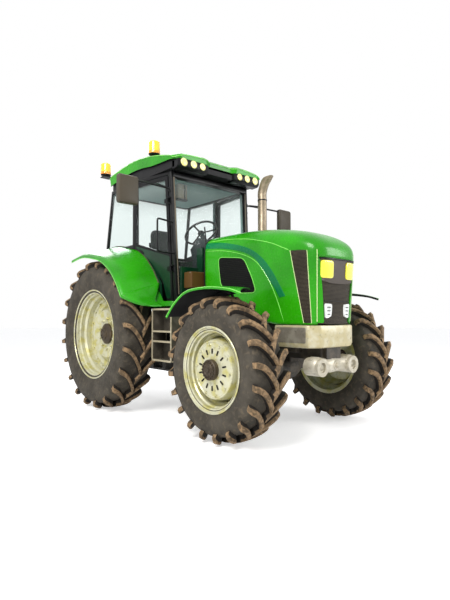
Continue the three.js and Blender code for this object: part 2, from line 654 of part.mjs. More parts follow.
const lowRail = 110;
function cabFrame() {
  const w = cab.post;
  const head = cab.head - seat;
  const half = (sign) => onSide(join(
    post(frontPost(cab.floor + seat), frontPost(head), w, w),
    post(midPost(wallTop + seat), midPost(head), w - 6, w - 6),
    post(rearPost(wallTop + seat), rearPost(head), w, w),
    block(cab.beltHalf - w, cab.beltHalf - 4, cab.doorRear - 20, cab.rear + 20, wallTop + seat, cab.belt),
    solidOf(alongZ(outline([
      [frontPost(head)[0] - 28, frontPost(head)[1] - 28], [frontPost(head)[0] + 28, frontPost(head)[1] - 28],
      [cab.beltHalf - 4, cab.doorRear], [rearPost(head)[0] + 28, rearPost(head)[1] + 28],
      [rearPost(head)[0] - 28, rearPost(head)[1] + 28], [cab.beltHalf - 60, cab.doorRear],
    ]), head - 46, head)),
  ), sign);
  const hingesAndRail = (sign) => onSide(join(...doorHinge.heights.map(hingePin), grabRail()), sign);
  const frontHead = frontPost(head);
  const rearHead = rearPost(head);
  const crossHead = block(-frontHead[0], frontHead[0], frontHead[1] - 28, frontHead[1] + 28, head - 92, head);
  const crossRear = block(-rearHead[0], rearHead[0], rearHead[1] - 28, rearHead[1] + 28, head - 60, head);
  const footX = frontPost(cab.floor + 50)[0];
  const crossLow = block(-footX, footX, cab.front - 24, cab.front + 28,
    cab.floor + seat, cab.floor + lowRail);
  const crossBelt = block(-rearPost(cab.belt)[0], rearPost(cab.belt)[0], cab.rear - 14, cab.rear + 40,
    cab.belt - 60, cab.belt);
  return join(half(1), half(-1), crossHead, crossRear, crossLow, crossBelt,
    hingesAndRail(1), hingesAndRail(-1));
}

// Hinge line of the left door: it leans with the front post, outside its rear edge.
const doorHinge = {
  heights: [cab.floor + 420, cab.head - 356], pin: 8, barrel: 15, reach: 28, leaf: 12,
  out: 21, back: 8, slack: 2.4, facets: 8,
};
const hingePoint = (z) => {
  const [x, y] = frontPost(z);
  return [x + cab.post / 2 + doorHinge.out, y + cab.post / 2 + doorHinge.back, z];
};

function hingePin(z) {
  const [x, y] = hingePoint(z);
  const [postX, postY] = frontPost(z);
  const face = [postX + cab.post / 2, postY + cab.post / 2];
  const lug = (z0, z1) => join(
    block(face[0] - 8, x + 9, postY - 6, face[1] - 2, z0, z1),
    block(x - 7, x + 9, face[1] - 12, y, z0, z1),
    bar([x, y, z0], [x, y, z1], doorHinge.pin + 2, doorHinge.facets));
  const { reach, leaf } = doorHinge;
  return join(
    bar(hingePoint(z - reach - leaf), hingePoint(z + reach + leaf), doorHinge.pin, doorHinge.facets),
    lug(z - reach - leaf, z - reach), lug(z + reach, z + reach + leaf));
}

const rail = { low: cab.floor + 592, high: cab.floor + 958, out: 868, y: cab.front - 45, radius: 11 };

function grabRail() {
  const root = (z) => [frontPost(z)[0], frontPost(z)[1] - cab.post / 4, z];
  const top = [rail.out, rail.y, rail.high];
  const foot = [rail.out, rail.y, rail.low];
  return join(
    bar(root(rail.high), top, rail.radius, 8),
    bar(root(rail.low), foot, rail.radius, 8),
    bar([rail.out, rail.y, rail.low - rail.radius], [rail.out, rail.y, rail.high + rail.radius],
      rail.radius, 8));
}

// ------------------------------------------------------------------ glazing
const pane = 6;

// An upright pane between two heights whose half width and depth change with height.
function crossPane(low, high, corner) {
  const [[xLow, yLow], [xHigh, yHigh]] = [corner(low), corner(high)];
  const shape = outline([[-xLow, low], [xLow, low], [xHigh, high], [-xHigh, high]]);
  const upright = alongY(shape, -pane / 2, pane / 2);
  const lean = (yHigh - yLow) / (high - low);
  return solidOf(upright.applyMatrix4(new THREE.Matrix4().set(
    1, 0, 0, 0, 0, 1, lean, yLow - lean * low, 0, 0, 1, 0, 0, 0, 0, 1)));
}

const insideOf = (corner) => (z) => [corner(z)[0] - cab.post / 2 - seat - 0.4, corner(z)[1]];
const headRail = { front: 92, side: 46, rear: 60 };

function windshield() {
  return crossPane(cab.floor + lowRail + 1, cab.head - headRail.front - 1, insideOf(frontPost));
}

function rearWindow() {
  return crossPane(cab.belt + seat, cab.head - headRail.rear - 1, insideOf(rearPost));
}

function quarterGlass(sign) {
  const low = cab.belt + seat;
  const high = cab.head - headRail.side - 1;
  const front = cab.doorRear + cab.post / 2 - 3 + seat;
  const rear = (z) => rearPost(z)[1] - cab.post / 2 - 1;
  const x = cab.beltHalf - cab.post / 2 - 10;
  const shape = outline([[front, low], [rear(low), low], [rear(high), high], [front, high]]);
  return onSide(solidOf(alongX(shape, x - pane / 2, x + pane / 2)), sign);
}

// -------------------------------------------------------------------- doors
// Drawn on the left. The door's plane runs from the front post's outer face to
// the middle post's, and its outline is drawn in (y, z).
const door = {
  thick: 36, border: 46, low: sill.high + moving, high: cab.head - headRail.side - moving,
  glassLow: cab.floor + 598, glassRise: 176,
};
const doorRearY = cab.doorRear - cab.post / 2 + 3 - moving;
const doorFront = frontPost(cab.floor);
const doorTurn = Math.atan2(
  cab.beltHalf - 4 - (doorFront[0] + cab.post / 2), cab.doorRear - doorFront[1]);
const doorFrontY = (z) => frontPost(z)[1] + cab.post / 2 + moving;

// Carries a plate drawn in (y, z) and x on to the door's slanting plane.
function onDoorPlane(geometry) {
  const slope = Math.tan(doorTurn);
  const lean = (cab.frontHalf - doorFront[0]) / (cab.head - cab.floor)
    - slope * cab.frontLean / (cab.head - cab.floor);
  const offset = doorFront[0] + cab.post / 2 - slope * doorFront[1] - lean * cab.floor;
  return geometry.applyMatrix4(new THREE.Matrix4().set(
    1, slope, lean, offset, 0, 1, 0, 0, 0, 0, 1, 0, 0, 0, 0, 1));
}

// Height of a line of points at a depth between two of them.
function heightAt(points, y) {
  const next = points.findIndex((p) => p.x > y);
  const [a, b] = [points[next - 1], points[next]];
  return between(a.y, b.y, y, a.x, b.x);
}

function doorOutline() {
  const line = fenderCurve(cabEdgeRise + moving).getPoints(30);
  const arch = line.filter((p) => p.x < doorRearY - 20);
  const [[toeY]] = rearFenderLine;
  return outline([
    [doorFrontY(door.low), door.low], [toeY - 88, door.low],
    ...arch.map((p, i) => [p.x - (i ? moving : 20), p.y]),
    [doorRearY, heightAt(line, doorRearY + moving)], [doorRearY, door.high],
    [doorFrontY(door.high), door.high],
  ]);
}

function doorWindow(grow) {
  const low = door.glassLow;
  const b = door.border - grow;
  const high = door.high - b;
  return outline([
    [doorFrontY(low) + b, low - grow], [doorRearY - b, low + door.glassRise - grow],
    [doorRearY - b, high], [doorFrontY(high) + b, high],
  ]);
}

function doorFrame(sign) {
  const slab = solidOf(onDoorPlane(alongX(doorOutline(), -door.thick, 0)));
  const hole = solidOf(onDoorPlane(alongX(doorWindow(0), -door.thick - 10, 10)));
  const leaves = doorHinge.heights.map((z) => {
    const reach = doorHinge.reach - doorHinge.slack;
    const [x, y] = hingePoint(z);
    return join(
      bar(hingePoint(z - reach), hingePoint(z + reach), doorHinge.barrel, doorHinge.facets),
      block(x - 17, x + 2, y, y + 62, z - reach, z + reach));
  });
  const boreRadius = eyeAround(doorHinge.pin, doorHinge.facets);
  const bores = doorHinge.heights.map((z) => bar(
    hingePoint(z - 60), hingePoint(z + 60), boreRadius, doorHinge.facets));
  return onSide(cut(join(cut(slab, hole), ...leaves), ...bores), sign);
}

function doorGlass(sign) {
  const x = -door.thick / 2;
  return onSide(solidOf(onDoorPlane(alongX(doorWindow(-seat), x - pane / 2, x + pane / 2))), sign);
}

// ------------------------------------------------------------- cab interior
const chair = {
  half: 245, front: cab.rear - 850, rear: cab.rear - 370, pan: cab.floor + 380,
  thick: 40, cushion: 125, backHigh: cab.floor + 1105, lean: 0.12,
};

function leaned(geometry, y0, z0) {
  return geometry.applyMatrix4(new THREE.Matrix4().set(
    1, 0, 0, 0, 0, 1, chair.lean, -chair.lean * z0, 0, 0, 1, 0, 0, 0, 0, 1)).translate(0, y0, 0);
}

function seatPedestal() {
  const panTop = chair.pan + chair.thick;
  const backPlate = leaned(new THREE.BoxGeometry(2 * chair.half - 90, 22, 480)
    .translate(0, 11, panTop + 238), chair.rear + 2, panTop);
  return join(
    block(-190, 190, chair.front + 90, chair.rear - 30, cab.floor + seat, cab.floor + 60),
    block(-130, 130, chair.front + 140, chair.rear - 80, cab.floor + 50, chair.pan + 5),
    block(-chair.half + 20, chair.half - 20, chair.front + 20, chair.rear + 24, chair.pan, panTop),
    solidOf(backPlate));
}

function seatCushion() {
  const low = chair.pan + chair.thick + seat;
  const shape = roundedOutline(chair.front, low, chair.rear - 110, low + chair.cushion, 34);
  return solidOf(alongX(shape, -chair.half, chair.half, 3));
}

function seatBack() {
  const low = chair.pan + chair.thick + 22;
  const shape = roundedOutline(-chair.half + 12, low, chair.half - 12, chair.backHigh, 60);
  return solidOf(leaned(alongY(shape, -104, -seat, 3), chair.rear + 2, chair.pan + chair.thick));
}

const helmRadius = 208;
const helm = {
  y: cab.front + 67 + helmRadius, z: cab.floor + 935, radius: helmRadius, grip: 14, tilt: 0.62, hub: 22,
};
const helmPoint = (down) => [0, helm.y - down * Math.sin(helm.tilt), helm.z - down * Math.cos(helm.tilt)];

function dashboard() {
  const front = cab.front + 96;
  const stand = solidOf(alongX(outline([
    [front, cab.floor + seat], [front + 194, cab.floor + seat], [front + 154, cab.floor + 560],
    [front + 206, cab.floor + 710], [front + 44, cab.floor + 838], [front, cab.floor + 830],
  ]), -150, 150));
  return join(stand, bar(helmPoint(190), helmPoint(helm.hub + seat), 30));
}

function steeringWheel() {
  const ring = new THREE.TorusGeometry(helm.radius, helm.grip, 6, 20);
  const spoke = (turn) => {
    const box = new THREE.BoxGeometry(helm.radius, 30, 12).translate(helm.radius / 2, 0, 0);
    return solidOf(box.rotateZ(turn));
  };
  const hub = new THREE.CylinderGeometry(44, 38, 2 * helm.hub, pinFacets).rotateX(Math.PI / 2);
  const turns = [Math.PI / 2, Math.PI * 7 / 6, Math.PI * 11 / 6];
  const wheelFlat = geometryOf(join(solidOf(ring), solidOf(hub), ...turns.map(spoke)));
  return wheelFlat.rotateX(-helm.tilt).translate(0, helm.y, helm.z);
}

// ------------------------------------------------------------ outside the cab
const mirror = {
  inner: 1120, outer: 1362, y: cab.front - 50, depth: 68,
  armZ: cab.head - 226, low: cab.head - 521, high: cab.head - 216,
};

function mirrorSolid(sign) {
  const [postX, postY] = frontPost(mirror.armZ);
  const face = postX + cab.post / 2 + 0.7;
  const shape = roundedOutline(mirror.inner, mirror.low, mirror.outer, mirror.high, 26);
  return onSide(join(
    block(face, face + 14, postY - 20, postY + 20, mirror.armZ - 22, mirror.armZ + 22),
    bar([face + 6, postY, mirror.armZ], [mirror.inner + 30, mirror.y, mirror.armZ - 24], 12),
    solidOf(alongY(shape, mirror.y - mirror.depth / 2, mirror.y + mirror.depth / 2, 3))), sign);
}

const beacon = { radius: 62, high: 186, foot: 24 };

function beaconLamp(x, y, z) {
  const { radius, high, foot } = beacon;
  const profile = [
    [0, 0], [34, 0], [34, foot], [radius + 6, foot], [radius + 6, foot + 22],
    [radius, foot + 26], [radius - 8, high - 22], [radius - 24, high], [0, high],
  ];
  const lamp = new THREE.LatheGeometry(flat(profile), 16);
  return solidOf(lamp.rotateX(Math.PI / 2).translate(x, y, z));
}

const frontBeacon = { x: -590, y: roof.front + 610, z: cab.head + 266 };
const rearBeacon = { x: -690, y: roof.rear + 66, z: cab.head + 236, rise: cab.head + 154 };

function frontBeaconSolid() {
  const { x, y, z } = frontBeacon;
  const stub = bar([x, y, z - 60], [x, y, z + 4], 30);
  return join(stub, beaconLamp(x, y, z))
    .subtract(roofShell().translate([0, 0, seat]));
}

function rearBeaconSolid() {
  const face = roof.rear + seat;
  return join(
    beaconLamp(rearBeacon.x, rearBeacon.y, rearBeacon.z),
    block(rearBeacon.x - 60, -600, face, rearBeacon.y + 50, rearBeacon.z - 14, rearBeacon.z),
    block(-622, -600, face, face + 26, rearBeacon.rise, rearBeacon.z - 4));
}

const stack = {
  x: 500, y: hood.rear - 93, radius: 57, bore: 48, silencer: 78, top: 2912,
  inlet: 45, inletY: hood.rear + 57, inletZ: engine.high - 130,
};

// A round pipe that follows a curve.
function pipe(points, radius, steps, facets = 12) {
  const path = new THREE.CatmullRomCurve3(points.map((p) => new THREE.Vector3(...p)));
  const ring = Array.from({ length: facets }, (_, i) => new THREE.Vector2(
    radius * Math.cos(2 * Math.PI * i / facets), radius * Math.sin(2 * Math.PI * i / facets)));
  const along = { steps, extrudePath: path, bevelEnabled: false };
  return solidOf(new THREE.ExtrudeGeometry(new THREE.Shape(ring), along));
}

function exhaustStack() {
  const { x, y, inletY, inletZ, radius, top } = stack;
  const inlet = pipe([
    [engine.half + seat + 0.1, inletY, inletZ], [x - 130, inletY, inletZ],
    [x - 42, inletY - 32, inletZ + 22], [x, y + 38, inletZ + 80], [x, y, inletZ + 190],
  ], stack.inlet, 8, 10);
  const silencer = bar([x, y, inletZ + 160], [x, y, top - 842], stack.silencer);
  const upright = bar([x, y, top - 852], [x, y, top - 290], radius);
  const collar = bar([x, y, top - 316], [x, y, top - 300], radius + 6);
  const tipLine = [
    [x, y, top - 302], [x, y, top - 212], [x + 4, y - 34, top - 112], [x + 10, y - 96, top - 20],
  ];
  const tip = pipe(tipLine, radius - 4, 6);
  const bore = pipe([...tipLine.slice(1), [x + 18, y - 150, top + 58]], stack.bore, 5, 8);
  const slant = new THREE.BoxGeometry(300, 300, 200).rotateX(-0.35).translate(x, y - 110, top + 60);
  return cut(join(inlet, silencer, upright, collar, tip), bore, solidOf(slant));
}

const tank = {
  inner: 330, outer: 660, front: cab.front - 314, rear: cab.front + 118,
  low: cab.floor - 640, high: cab.floor - 130,
};
const steps = {
  outer: 862, front: tank.front + 10, rear: tank.rear - 46, sheet: 12, riser: 706,
  low: tank.low + 15, high: cab.floor - 48, treads: [0, 207, 317, 559],
};

function underCabBox(sign) {
  const shape = roundedOutline(tank.front, tank.low, tank.rear, tank.high, 40);
  const body = solidOf(alongX(shape, tank.inner, tank.outer, 3));
  const hangers = [tank.front + 60, tank.rear - 60].map((y) => block(
    tank.inner + 60, tank.inner + 110, y - 25, y + 25,
    tank.high - 6, cab.floor - cab.floorThick - seat));
  return onSide(join(body, ...hangers), sign);
}

function stepLadder(sign) {
  const s = steps;
  const stringers = [s.front, s.rear - s.sheet].map((y) => block(
    tank.outer + seat, s.outer, y, y + s.sheet, s.low, s.high));
  const [y0, y1] = [s.front + s.sheet / 2, s.rear - s.sheet / 2];
  const heights = s.treads.map((rise) => s.low + rise);
  const treads = heights.map((z) => block(
    tank.outer + 6, s.outer - 4, y0, y1, z + 2, z + s.sheet + 4));
  const risers = [[heights[0], heights[1]], [heights[2], heights[3]]].map(([low, high]) =>
    block(s.riser - s.sheet, s.riser, y0, y1, low + 4, high + s.sheet));
  return onSide(join(...stringers, ...treads, ...risers), sign);
}

// Roof: an arched shell over a dark lining that carries the lamps.
const roofAt = (share) => roof.front + share * (roof.rear - roof.front);
const roofArch = [
  [roofAt(0), cab.head + 110], [roofAt(0.332), cab.head + 230],
  [roofAt(0.628), cab.head + 261], [roofAt(1), cab.head + 196],
];

// The roof between two depths under its arch, with a crown across its width.
function roofLayer(halfWidth, front, rear, over, under) {
  const line = new THREE.SplineCurve(flat(roofArch)).getPoints(8);
  const side = new THREE.Shape([
    ...line.map((p) => new THREE.Vector2(p.x, p.y + roof.crown - over)),
    ...[...line].reverse().map((p) => new THREE.Vector2(p.x, under(p.y))),
  ]);
  const body = solidOf(alongX(side, -halfWidth, halfWidth));
  const plan = solidOf(alongZ(roundedOutline(-halfWidth, front, halfWidth, rear, 70),
    cab.head - 156, cab.head + 444, 3));
  return body.intersect(plan);
}

function roofShell() {
  const layer = roofLayer(roof.halfWidth, roof.front, roof.rear, 0, (z) => z - roof.thick);
  const high = roofArch[2][1] + roof.crown;
  const w = roof.halfWidth;
  const edgeDrop = solidOf(alongY(outline([
    [-w - 10, high - 3 * roof.crown], [-w - 10, high + 80],
    [w + 10, high + 80], [w + 10, high - 3 * roof.crown],
    [w - 60, high - 1.1 * roof.crown], [w * 0.5, high], [0, high + 6],
    [-w * 0.5, high], [-w + 60, high - 1.1 * roof.crown],
  ]), roof.front - 10, roof.rear + 10));
  return cut(layer, edgeDrop);
}

const lampPod = { inner: 215, outer: 655, front: roof.front + 6, rear: roof.front + 46 };

function roofLining() {
  const layer = roofLayer(roof.halfWidth - 30, roof.front + 40, roof.rear - 34,
    roof.crown + roof.thick + seat, () => cab.head);
  const pods = [-1, 1].map((sign) => block(sign * lampPod.inner, sign * lampPod.outer,
    lampPod.front, lampPod.rear, cab.head + 12, cab.head + 36));
  return join(layer, ...pods);
}

// ----------------------------------------------------------------- assembly
add('engine_block', engineBlock(), finish.cast());
add('front_frame', frontFrame(), finish.silver());
add('front_axle', frontAxle(), finish.silver());
add('drivetrain_housing', drivetrain(), finish.cast());
add('drawbar', drawbar(), finish.black());
add('lower_links', lowerLinks(), finish.black());
add('lift_arms', liftArms(), finish.cast());
add('front_bumper', frontBumper(), finish.silver());
add('hood_shell', hoodShell(), finish.green());
add('front_grille', frontGrille(), finish.grille());
add('cab_tub', cabTub(), finish.darkGreen());
add('cab_frame', cabFrame(), finish.black());
add('windshield', windshield(), finish.glass());
add('rear_window', rearWindow(), finish.glass());
add('seat_pedestal', seatPedestal(), finish.black());
add('seat_cushion', seatCushion(), finish.fabric());
add('seat_back', seatBack(), finish.fabric());
add('dashboard', dashboard(), finish.black());
add('steering_wheel', steeringWheel(), finish.black());
add('beacon_front', frontBeaconSolid(), finish.amber());
add('beacon_rear', rearBeaconSolid(), finish.amber());
add('exhaust_stack', exhaustStack(), finish.tan());
add('fuel_tank', underCabBox(1), finish.black());
add('tool_box', underCabBox(-1), finish.black());
add('roof_shell', roofShell(), finish.green());
add('roof_lining', roofLining(), finish.black());
for (const side of sides) {
  add(`steering_knuckle_${side.name}`, knuckle(side.sign), finish.cast());
  add(`front_fender_${side.name}`, frontFenderSolid(side.sign), finish.green());
  add(`rear_fender_${side.name}`, rearFender(side.sign), finish.green());
  add(`lift_rod_${side.name}`, liftRod(side.sign), finish.cast());
  add(`headlamp_${side.name}`, headlampSolid(side.sign), finish.lamp());
  add(`quarter_glass_${side.name}`, quarterGlass(side.sign), finish.glass());
  add(`door_frame_${side.name}`, doorFrame(side.sign), finish.darkGreen());
  add(`door_glass_${side.name}`, doorGlass(side.sign), finish.glass());
  add(`mirror_${side.name}`, mirrorSolid(side.sign), finish.tan());
  add(`steps_${side.name}`, stepLadder(side.sign), finish.silver());
}

const tractor = new THREE.Group();
tractor.add(...parts);
tractor.position.y = (nose - hitchReach) / 2;

export default tractor;
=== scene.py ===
"""The looks of a four-wheel-drive farm tractor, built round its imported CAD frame.

Every piece is in metres, in the frame's own axes: +Z up, the front faces -Y and
the tractor's left is +X. Sizes along the tractor are counted rearwards from the
front axle, as on the drawings of such a machine, and shifted by `Layout.axle_y`.
"""

import json
import logging
import math
from dataclasses import dataclass, field
from enum import Enum
from typing import Callable, Optional, Sequence

import bmesh
import bpy
import numpy as np
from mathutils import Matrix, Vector

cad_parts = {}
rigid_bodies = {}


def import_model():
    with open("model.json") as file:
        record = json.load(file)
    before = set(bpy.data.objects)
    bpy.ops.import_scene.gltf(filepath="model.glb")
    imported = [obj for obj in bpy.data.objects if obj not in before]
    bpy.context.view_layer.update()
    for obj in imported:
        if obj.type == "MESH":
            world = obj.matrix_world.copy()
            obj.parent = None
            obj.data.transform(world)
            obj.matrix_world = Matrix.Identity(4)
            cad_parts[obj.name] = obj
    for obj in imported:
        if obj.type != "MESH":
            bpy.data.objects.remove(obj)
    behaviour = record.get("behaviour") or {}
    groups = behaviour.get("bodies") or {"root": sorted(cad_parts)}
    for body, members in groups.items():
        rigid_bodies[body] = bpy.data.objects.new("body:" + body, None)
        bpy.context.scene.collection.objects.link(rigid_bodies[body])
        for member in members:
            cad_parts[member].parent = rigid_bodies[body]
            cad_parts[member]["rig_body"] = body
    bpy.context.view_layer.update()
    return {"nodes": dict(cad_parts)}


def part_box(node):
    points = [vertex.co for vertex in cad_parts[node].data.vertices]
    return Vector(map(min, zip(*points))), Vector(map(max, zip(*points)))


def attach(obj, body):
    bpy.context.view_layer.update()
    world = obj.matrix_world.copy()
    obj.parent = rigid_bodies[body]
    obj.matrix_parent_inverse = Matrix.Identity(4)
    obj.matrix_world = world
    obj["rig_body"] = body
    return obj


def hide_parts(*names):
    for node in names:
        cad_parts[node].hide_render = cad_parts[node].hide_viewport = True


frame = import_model()

LOG = logging.getLogger("tractor")
Array = np.ndarray
Colour = tuple[float, float, float]
Points = Array | Sequence[Sequence[float]]
Socket = bpy.types.NodeSocket
Object = bpy.types.Object
TAU = 2 * math.pi
GLASS_THICK = 0.006


class Side(Enum):
    """The tractor's two sides, as the sign of X."""

    RIGHT = -1
    LEFT = 1

    @property
    def label(self) -> str:
        """The side's name as the CAD nodes spell it."""
        return self.name.lower()


# ------------------------------------------------------------------ curves
def unit(vectors: Array) -> Array:
    """Each row at length 1."""
    return vectors / np.linalg.norm(vectors, axis=1)[:, None]


def spline(points: Points, count: int) -> Array:
    """A Catmull-Rom curve: each span is the usual cubic blend of its four nearest points.

    Args:
        points: the points that the curve passes through, in any dimension.
        count: how many points to return, evenly spread over the spans.

    Returns:
        The curve as an array of shape (count, dimension).
    """
    knots = np.asarray(points, float)
    padded = np.vstack([2 * knots[0] - knots[1], knots, 2 * knots[-1] - knots[-2]])
    place = np.linspace(0, len(knots) - 1, count)
    span = np.minimum(place.astype(int), len(knots) - 2)
    f = (place - span)[:, None]
    a, b, c, d = (padded[span + i] for i in range(4))
    cubic = 2 * b + (c - a) * f + (2 * a - 5 * b + 4 * c - d) * f**2 + (3 * b - a - 3 * c + d) * f**3
    return cubic / 2


def rounded_polygon(corners: Points, radius: float, steps: int = 5) -> Array:
    """An outline whose corners are quadratic Bezier arcs that start `radius` before each corner.

    Args:
        corners: the sharp corners, in order.
        radius: how far from a corner its arc starts, at most half of the shorter edge.
        steps: points on each arc.

    Returns:
        The outline as an array of shape (corners * steps, 2).
    """
    at = np.asarray(corners, float)
    back, ahead = np.roll(at, 1, 0) - at, np.roll(at, -1, 0) - at
    reach_back, reach_ahead = (np.linalg.norm(v, axis=1)[:, None] for v in (back, ahead))
    cut = np.minimum(radius, 0.48 * np.minimum(reach_back, reach_ahead))
    start, end = at + back / reach_back * cut, at + ahead / reach_ahead * cut
    f = np.linspace(0, 1, steps)[None, :, None]
    arcs = start[:, None] * (1 - f) ** 2 + 2 * at[:, None] * f * (1 - f) + end[:, None] * f**2
    return arcs.reshape(-1, at.shape[1])


def rounded_rect(half_u: float, half_v: float, radius: float, steps: int = 5) -> Array:
    """A rectangle about the origin with rounded corners, as (u, v) points."""
    corners = [(-half_u, -half_v), (half_u, -half_v), (half_u, half_v), (-half_u, half_v)]
    return rounded_polygon(corners, radius, steps)


def circle(radius: float, count: int = 16) -> Array:
    """A circle about the origin, as (u, v) points."""
    turn = np.arange(count) * TAU / count
    return radius * np.stack([np.cos(turn), np.sin(turn)], 1)


def round_axis(axis: Sequence[float], count: int) -> tuple[Array, Array]:
    """The unit vector along an axis, and unit vectors square to it, evenly round it.

    Args:
        axis: the direction.
        count: how many vectors.

    Returns:
        The axis and the vectors round it.
    """
    along = np.asarray(axis, float) / np.linalg.norm(axis)
    helper = np.array([0, 0, 1.0]) if abs(along[2]) < 0.9 else np.array([1.0, 0, 0])
    u = np.cross(helper, along)
    u /= np.linalg.norm(u)
    v = np.cross(along, u)
    turn = np.arange(count) * TAU / count
    return along, np.cos(turn)[:, None] * u + np.sin(turn)[:, None] * v


def resampled(path: Points, spacing: float) -> Array:
    """The same open path with points added at even steps no longer than `spacing`.

    Args:
        path: the path's points.
        spacing: the longest step.

    Returns:
        The path.
    """
    path = np.asarray(path, float)
    step = np.linalg.norm(np.diff(path, axis=0), axis=1)
    reach = np.concatenate([[0], np.cumsum(step)])
    count = max(2, int(math.ceil(reach[-1] / spacing)) + 1)
    want = np.linspace(0, reach[-1], count)
    return np.stack([np.interp(want, reach, path[:, i]) for i in range(path.shape[1])], 1)


def bent_path(corners: Points, radius: float, steps: int = 6) -> Array:
    """An open path of straight runs whose inner corners are Bezier arcs of reach `radius`.

    Args:
        corners: its points, in order.
        radius: reach of the arcs.
        steps: points on each arc.

    Returns:
        The path.
    """
    at = np.asarray(corners, float)
    loop = rounded_polygon(at, radius, steps)
    return np.vstack([at[:1], loop[steps:-steps], at[-1:]])


# ------------------------------------------------------------------ meshes
@dataclass
class Shell:
    """Points and faces gathered from one or more surfaces, before they become a mesh."""

    points: list[Array] = field(default_factory=list)
    faces: list[Array] = field(default_factory=list)
    caps: list[list[int]] = field(default_factory=list)
    finishes: list[Array] = field(default_factory=list)
    cap_finishes: list[int] = field(default_factory=list)
    count: int = 0

    def grids(self, points: Array, wrap_u: bool = False, wrap_v: bool = False, finish: int | Array = 0) -> "Shell":
        """Adds surfaces given as grids of points; neighbours in the grid share a quad.

        Args:
            points: shape (copies, u, v, 3).
            wrap_u: whether the last row joins the first.
            wrap_v: whether the last column joins the first.
            finish: index of the finish of these faces, one for all or one for each column.

        Returns:
            The shell itself.
        """
        copies, rows, columns, _ = points.shape
        index = np.arange(copies * rows * columns).reshape(copies, rows, columns) + self.count
        index = np.concatenate([index, index[:, :1]], 1) if wrap_u else index
        index = np.concatenate([index, index[:, :, :1]], 2) if wrap_v else index
        quads = np.stack([index[:, :-1, :-1], index[:, 1:, :-1], index[:, 1:, 1:], index[:, :-1, 1:]], -1)
        self.points.append(points.reshape(-1, 3))
        self.faces.append(quads.reshape(-1, 4))
        self.finishes.append(np.broadcast_to(finish, quads.shape[:3]).reshape(-1))
        self.count += copies * rows * columns
        return self

    def grid(self, points: Array, wrap_u: bool = False, wrap_v: bool = False, finish: int = 0) -> "Shell":
        """Adds one surface of shape (u, v, 3)."""
        return self.grids(points[None], wrap_u, wrap_v, finish)

    def disc(self, ring: Array, finish: int = 0) -> "Shell":
        """Adds one flat face with the given edge."""
        return self.rings(ring[None], finish)

    def tube(self, rings: Array, finish: int = 0) -> "Shell":
        """Adds a surface through closed rings, with a flat face on its first and last ring."""
        return self.grid(rings, wrap_v=True, finish=finish).disc(rings[0], finish).disc(rings[-1], finish)

    def rings(self, rings: Array, finish: int = 0) -> "Shell":
        """Adds a flat face for each of several edges, of shape (copies, n, 3).

        Args:
            rings: the edges.
            finish: index of the finish of these faces.

        Returns:
            The shell itself.
        """
        copies, corners, _ = rings.shape
        index = np.arange(copies * corners).reshape(copies, corners) + self.count
        self.points.append(rings.reshape(-1, 3))
        self.caps.extend(index.tolist())
        self.cap_finishes.extend([finish] * copies)
        self.count += copies * corners
        return self

    def sweep(self, path: Array, profile: Array, up: Sequence[float] = (0, 0, 1),
              scale: Optional[Array] = None, closed: bool = False, finish: int = 0) -> "Shell":
        """Carries a closed profile along a path: point = path + u * side + v * top, where side is
        the path's direction crossed with `up`, and top is side crossed with that direction.

        Args:
            path: shape (stations, 3).
            profile: closed outline of shape (n, 2).
            up: a direction that is nowhere along the path.
            scale: size of the profile at each station.
            closed: whether the path joins its own start; if not, its ends are capped.
            finish: index of the finish of these faces.

        Returns:
            The shell itself.
        """
        path = np.asarray(path, float)
        ahead = unit(np.roll(path, -1, 0) - np.roll(path, 1, 0) if closed else np.gradient(path, axis=0))
        across = unit(np.cross(ahead, np.asarray(up, float)))
        top = np.cross(across, ahead)
        size = np.ones(len(path)) if scale is None else np.asarray(scale, float)
        u, v = (profile[None, :, i, None] * size[:, None, None] for i in range(2))
        rings = path[:, None] + u * across[:, None] + v * top[:, None]
        self.grid(rings, wrap_u=closed, wrap_v=True, finish=finish)
        return self if closed else self.disc(rings[0], finish).disc(rings[-1], finish)

    def lathe(self, profile: Points, centre: Sequence[float], axis: Sequence[float] = (1, 0, 0),
              segments: int = 96, wrap: bool = False, finish: int = 0) -> "Shell":
        """Turns a (radius, along) profile: point = centre + along * axis + radius * (cos, sin) round it.

        Args:
            profile: (radius, along) points.
            centre: the origin of the profile.
            axis: the direction.
            segments: steps round the axis.
            wrap: whether the profile is closed.
            finish: index of the finish of these faces.

        Returns:
            The shell itself.
        """
        along, ring = round_axis(axis, segments)
        radius, reach = np.asarray(profile, float).T[:, None, :, None]
        points = np.asarray(centre, float) + radius * ring[:, None] + reach * along
        return self.grid(points, wrap_u=True, wrap_v=wrap, finish=finish)

    def block(self, low: Sequence[float], high: Sequence[float], radius: float = 0.004, finish: int = 0) -> "Shell":
        """A box with rounded upright edges: a rounded rectangle carried from the low to the high Z.

        Args:
            low: one corner, its y counted from the front axle.
            high: the opposite corner.
            radius: reach of the rounding.
            finish: index of the finish of these faces.

        Returns:
            The shell itself.
        """
        lo, hi = Layout.shifted([np.minimum(low, high), np.maximum(low, high)])
        half, mid = (hi - lo) / 2, (hi + lo) / 2
        outline = rounded_rect(half[0], half[1], radius, 4)
        inner = rounded_rect(half[0] - radius / 2, half[1] - radius / 2, radius, 4)
        levels = np.array([lo[2], lo[2] + radius / 2, hi[2] - radius / 2, hi[2]])
        plan = np.stack([inner, outline, outline, inner])
        rings = np.concatenate([plan + mid[:2], np.broadcast_to(levels[:, None, None], (4, len(outline), 1))], 2)
        return self.tube(rings, finish)

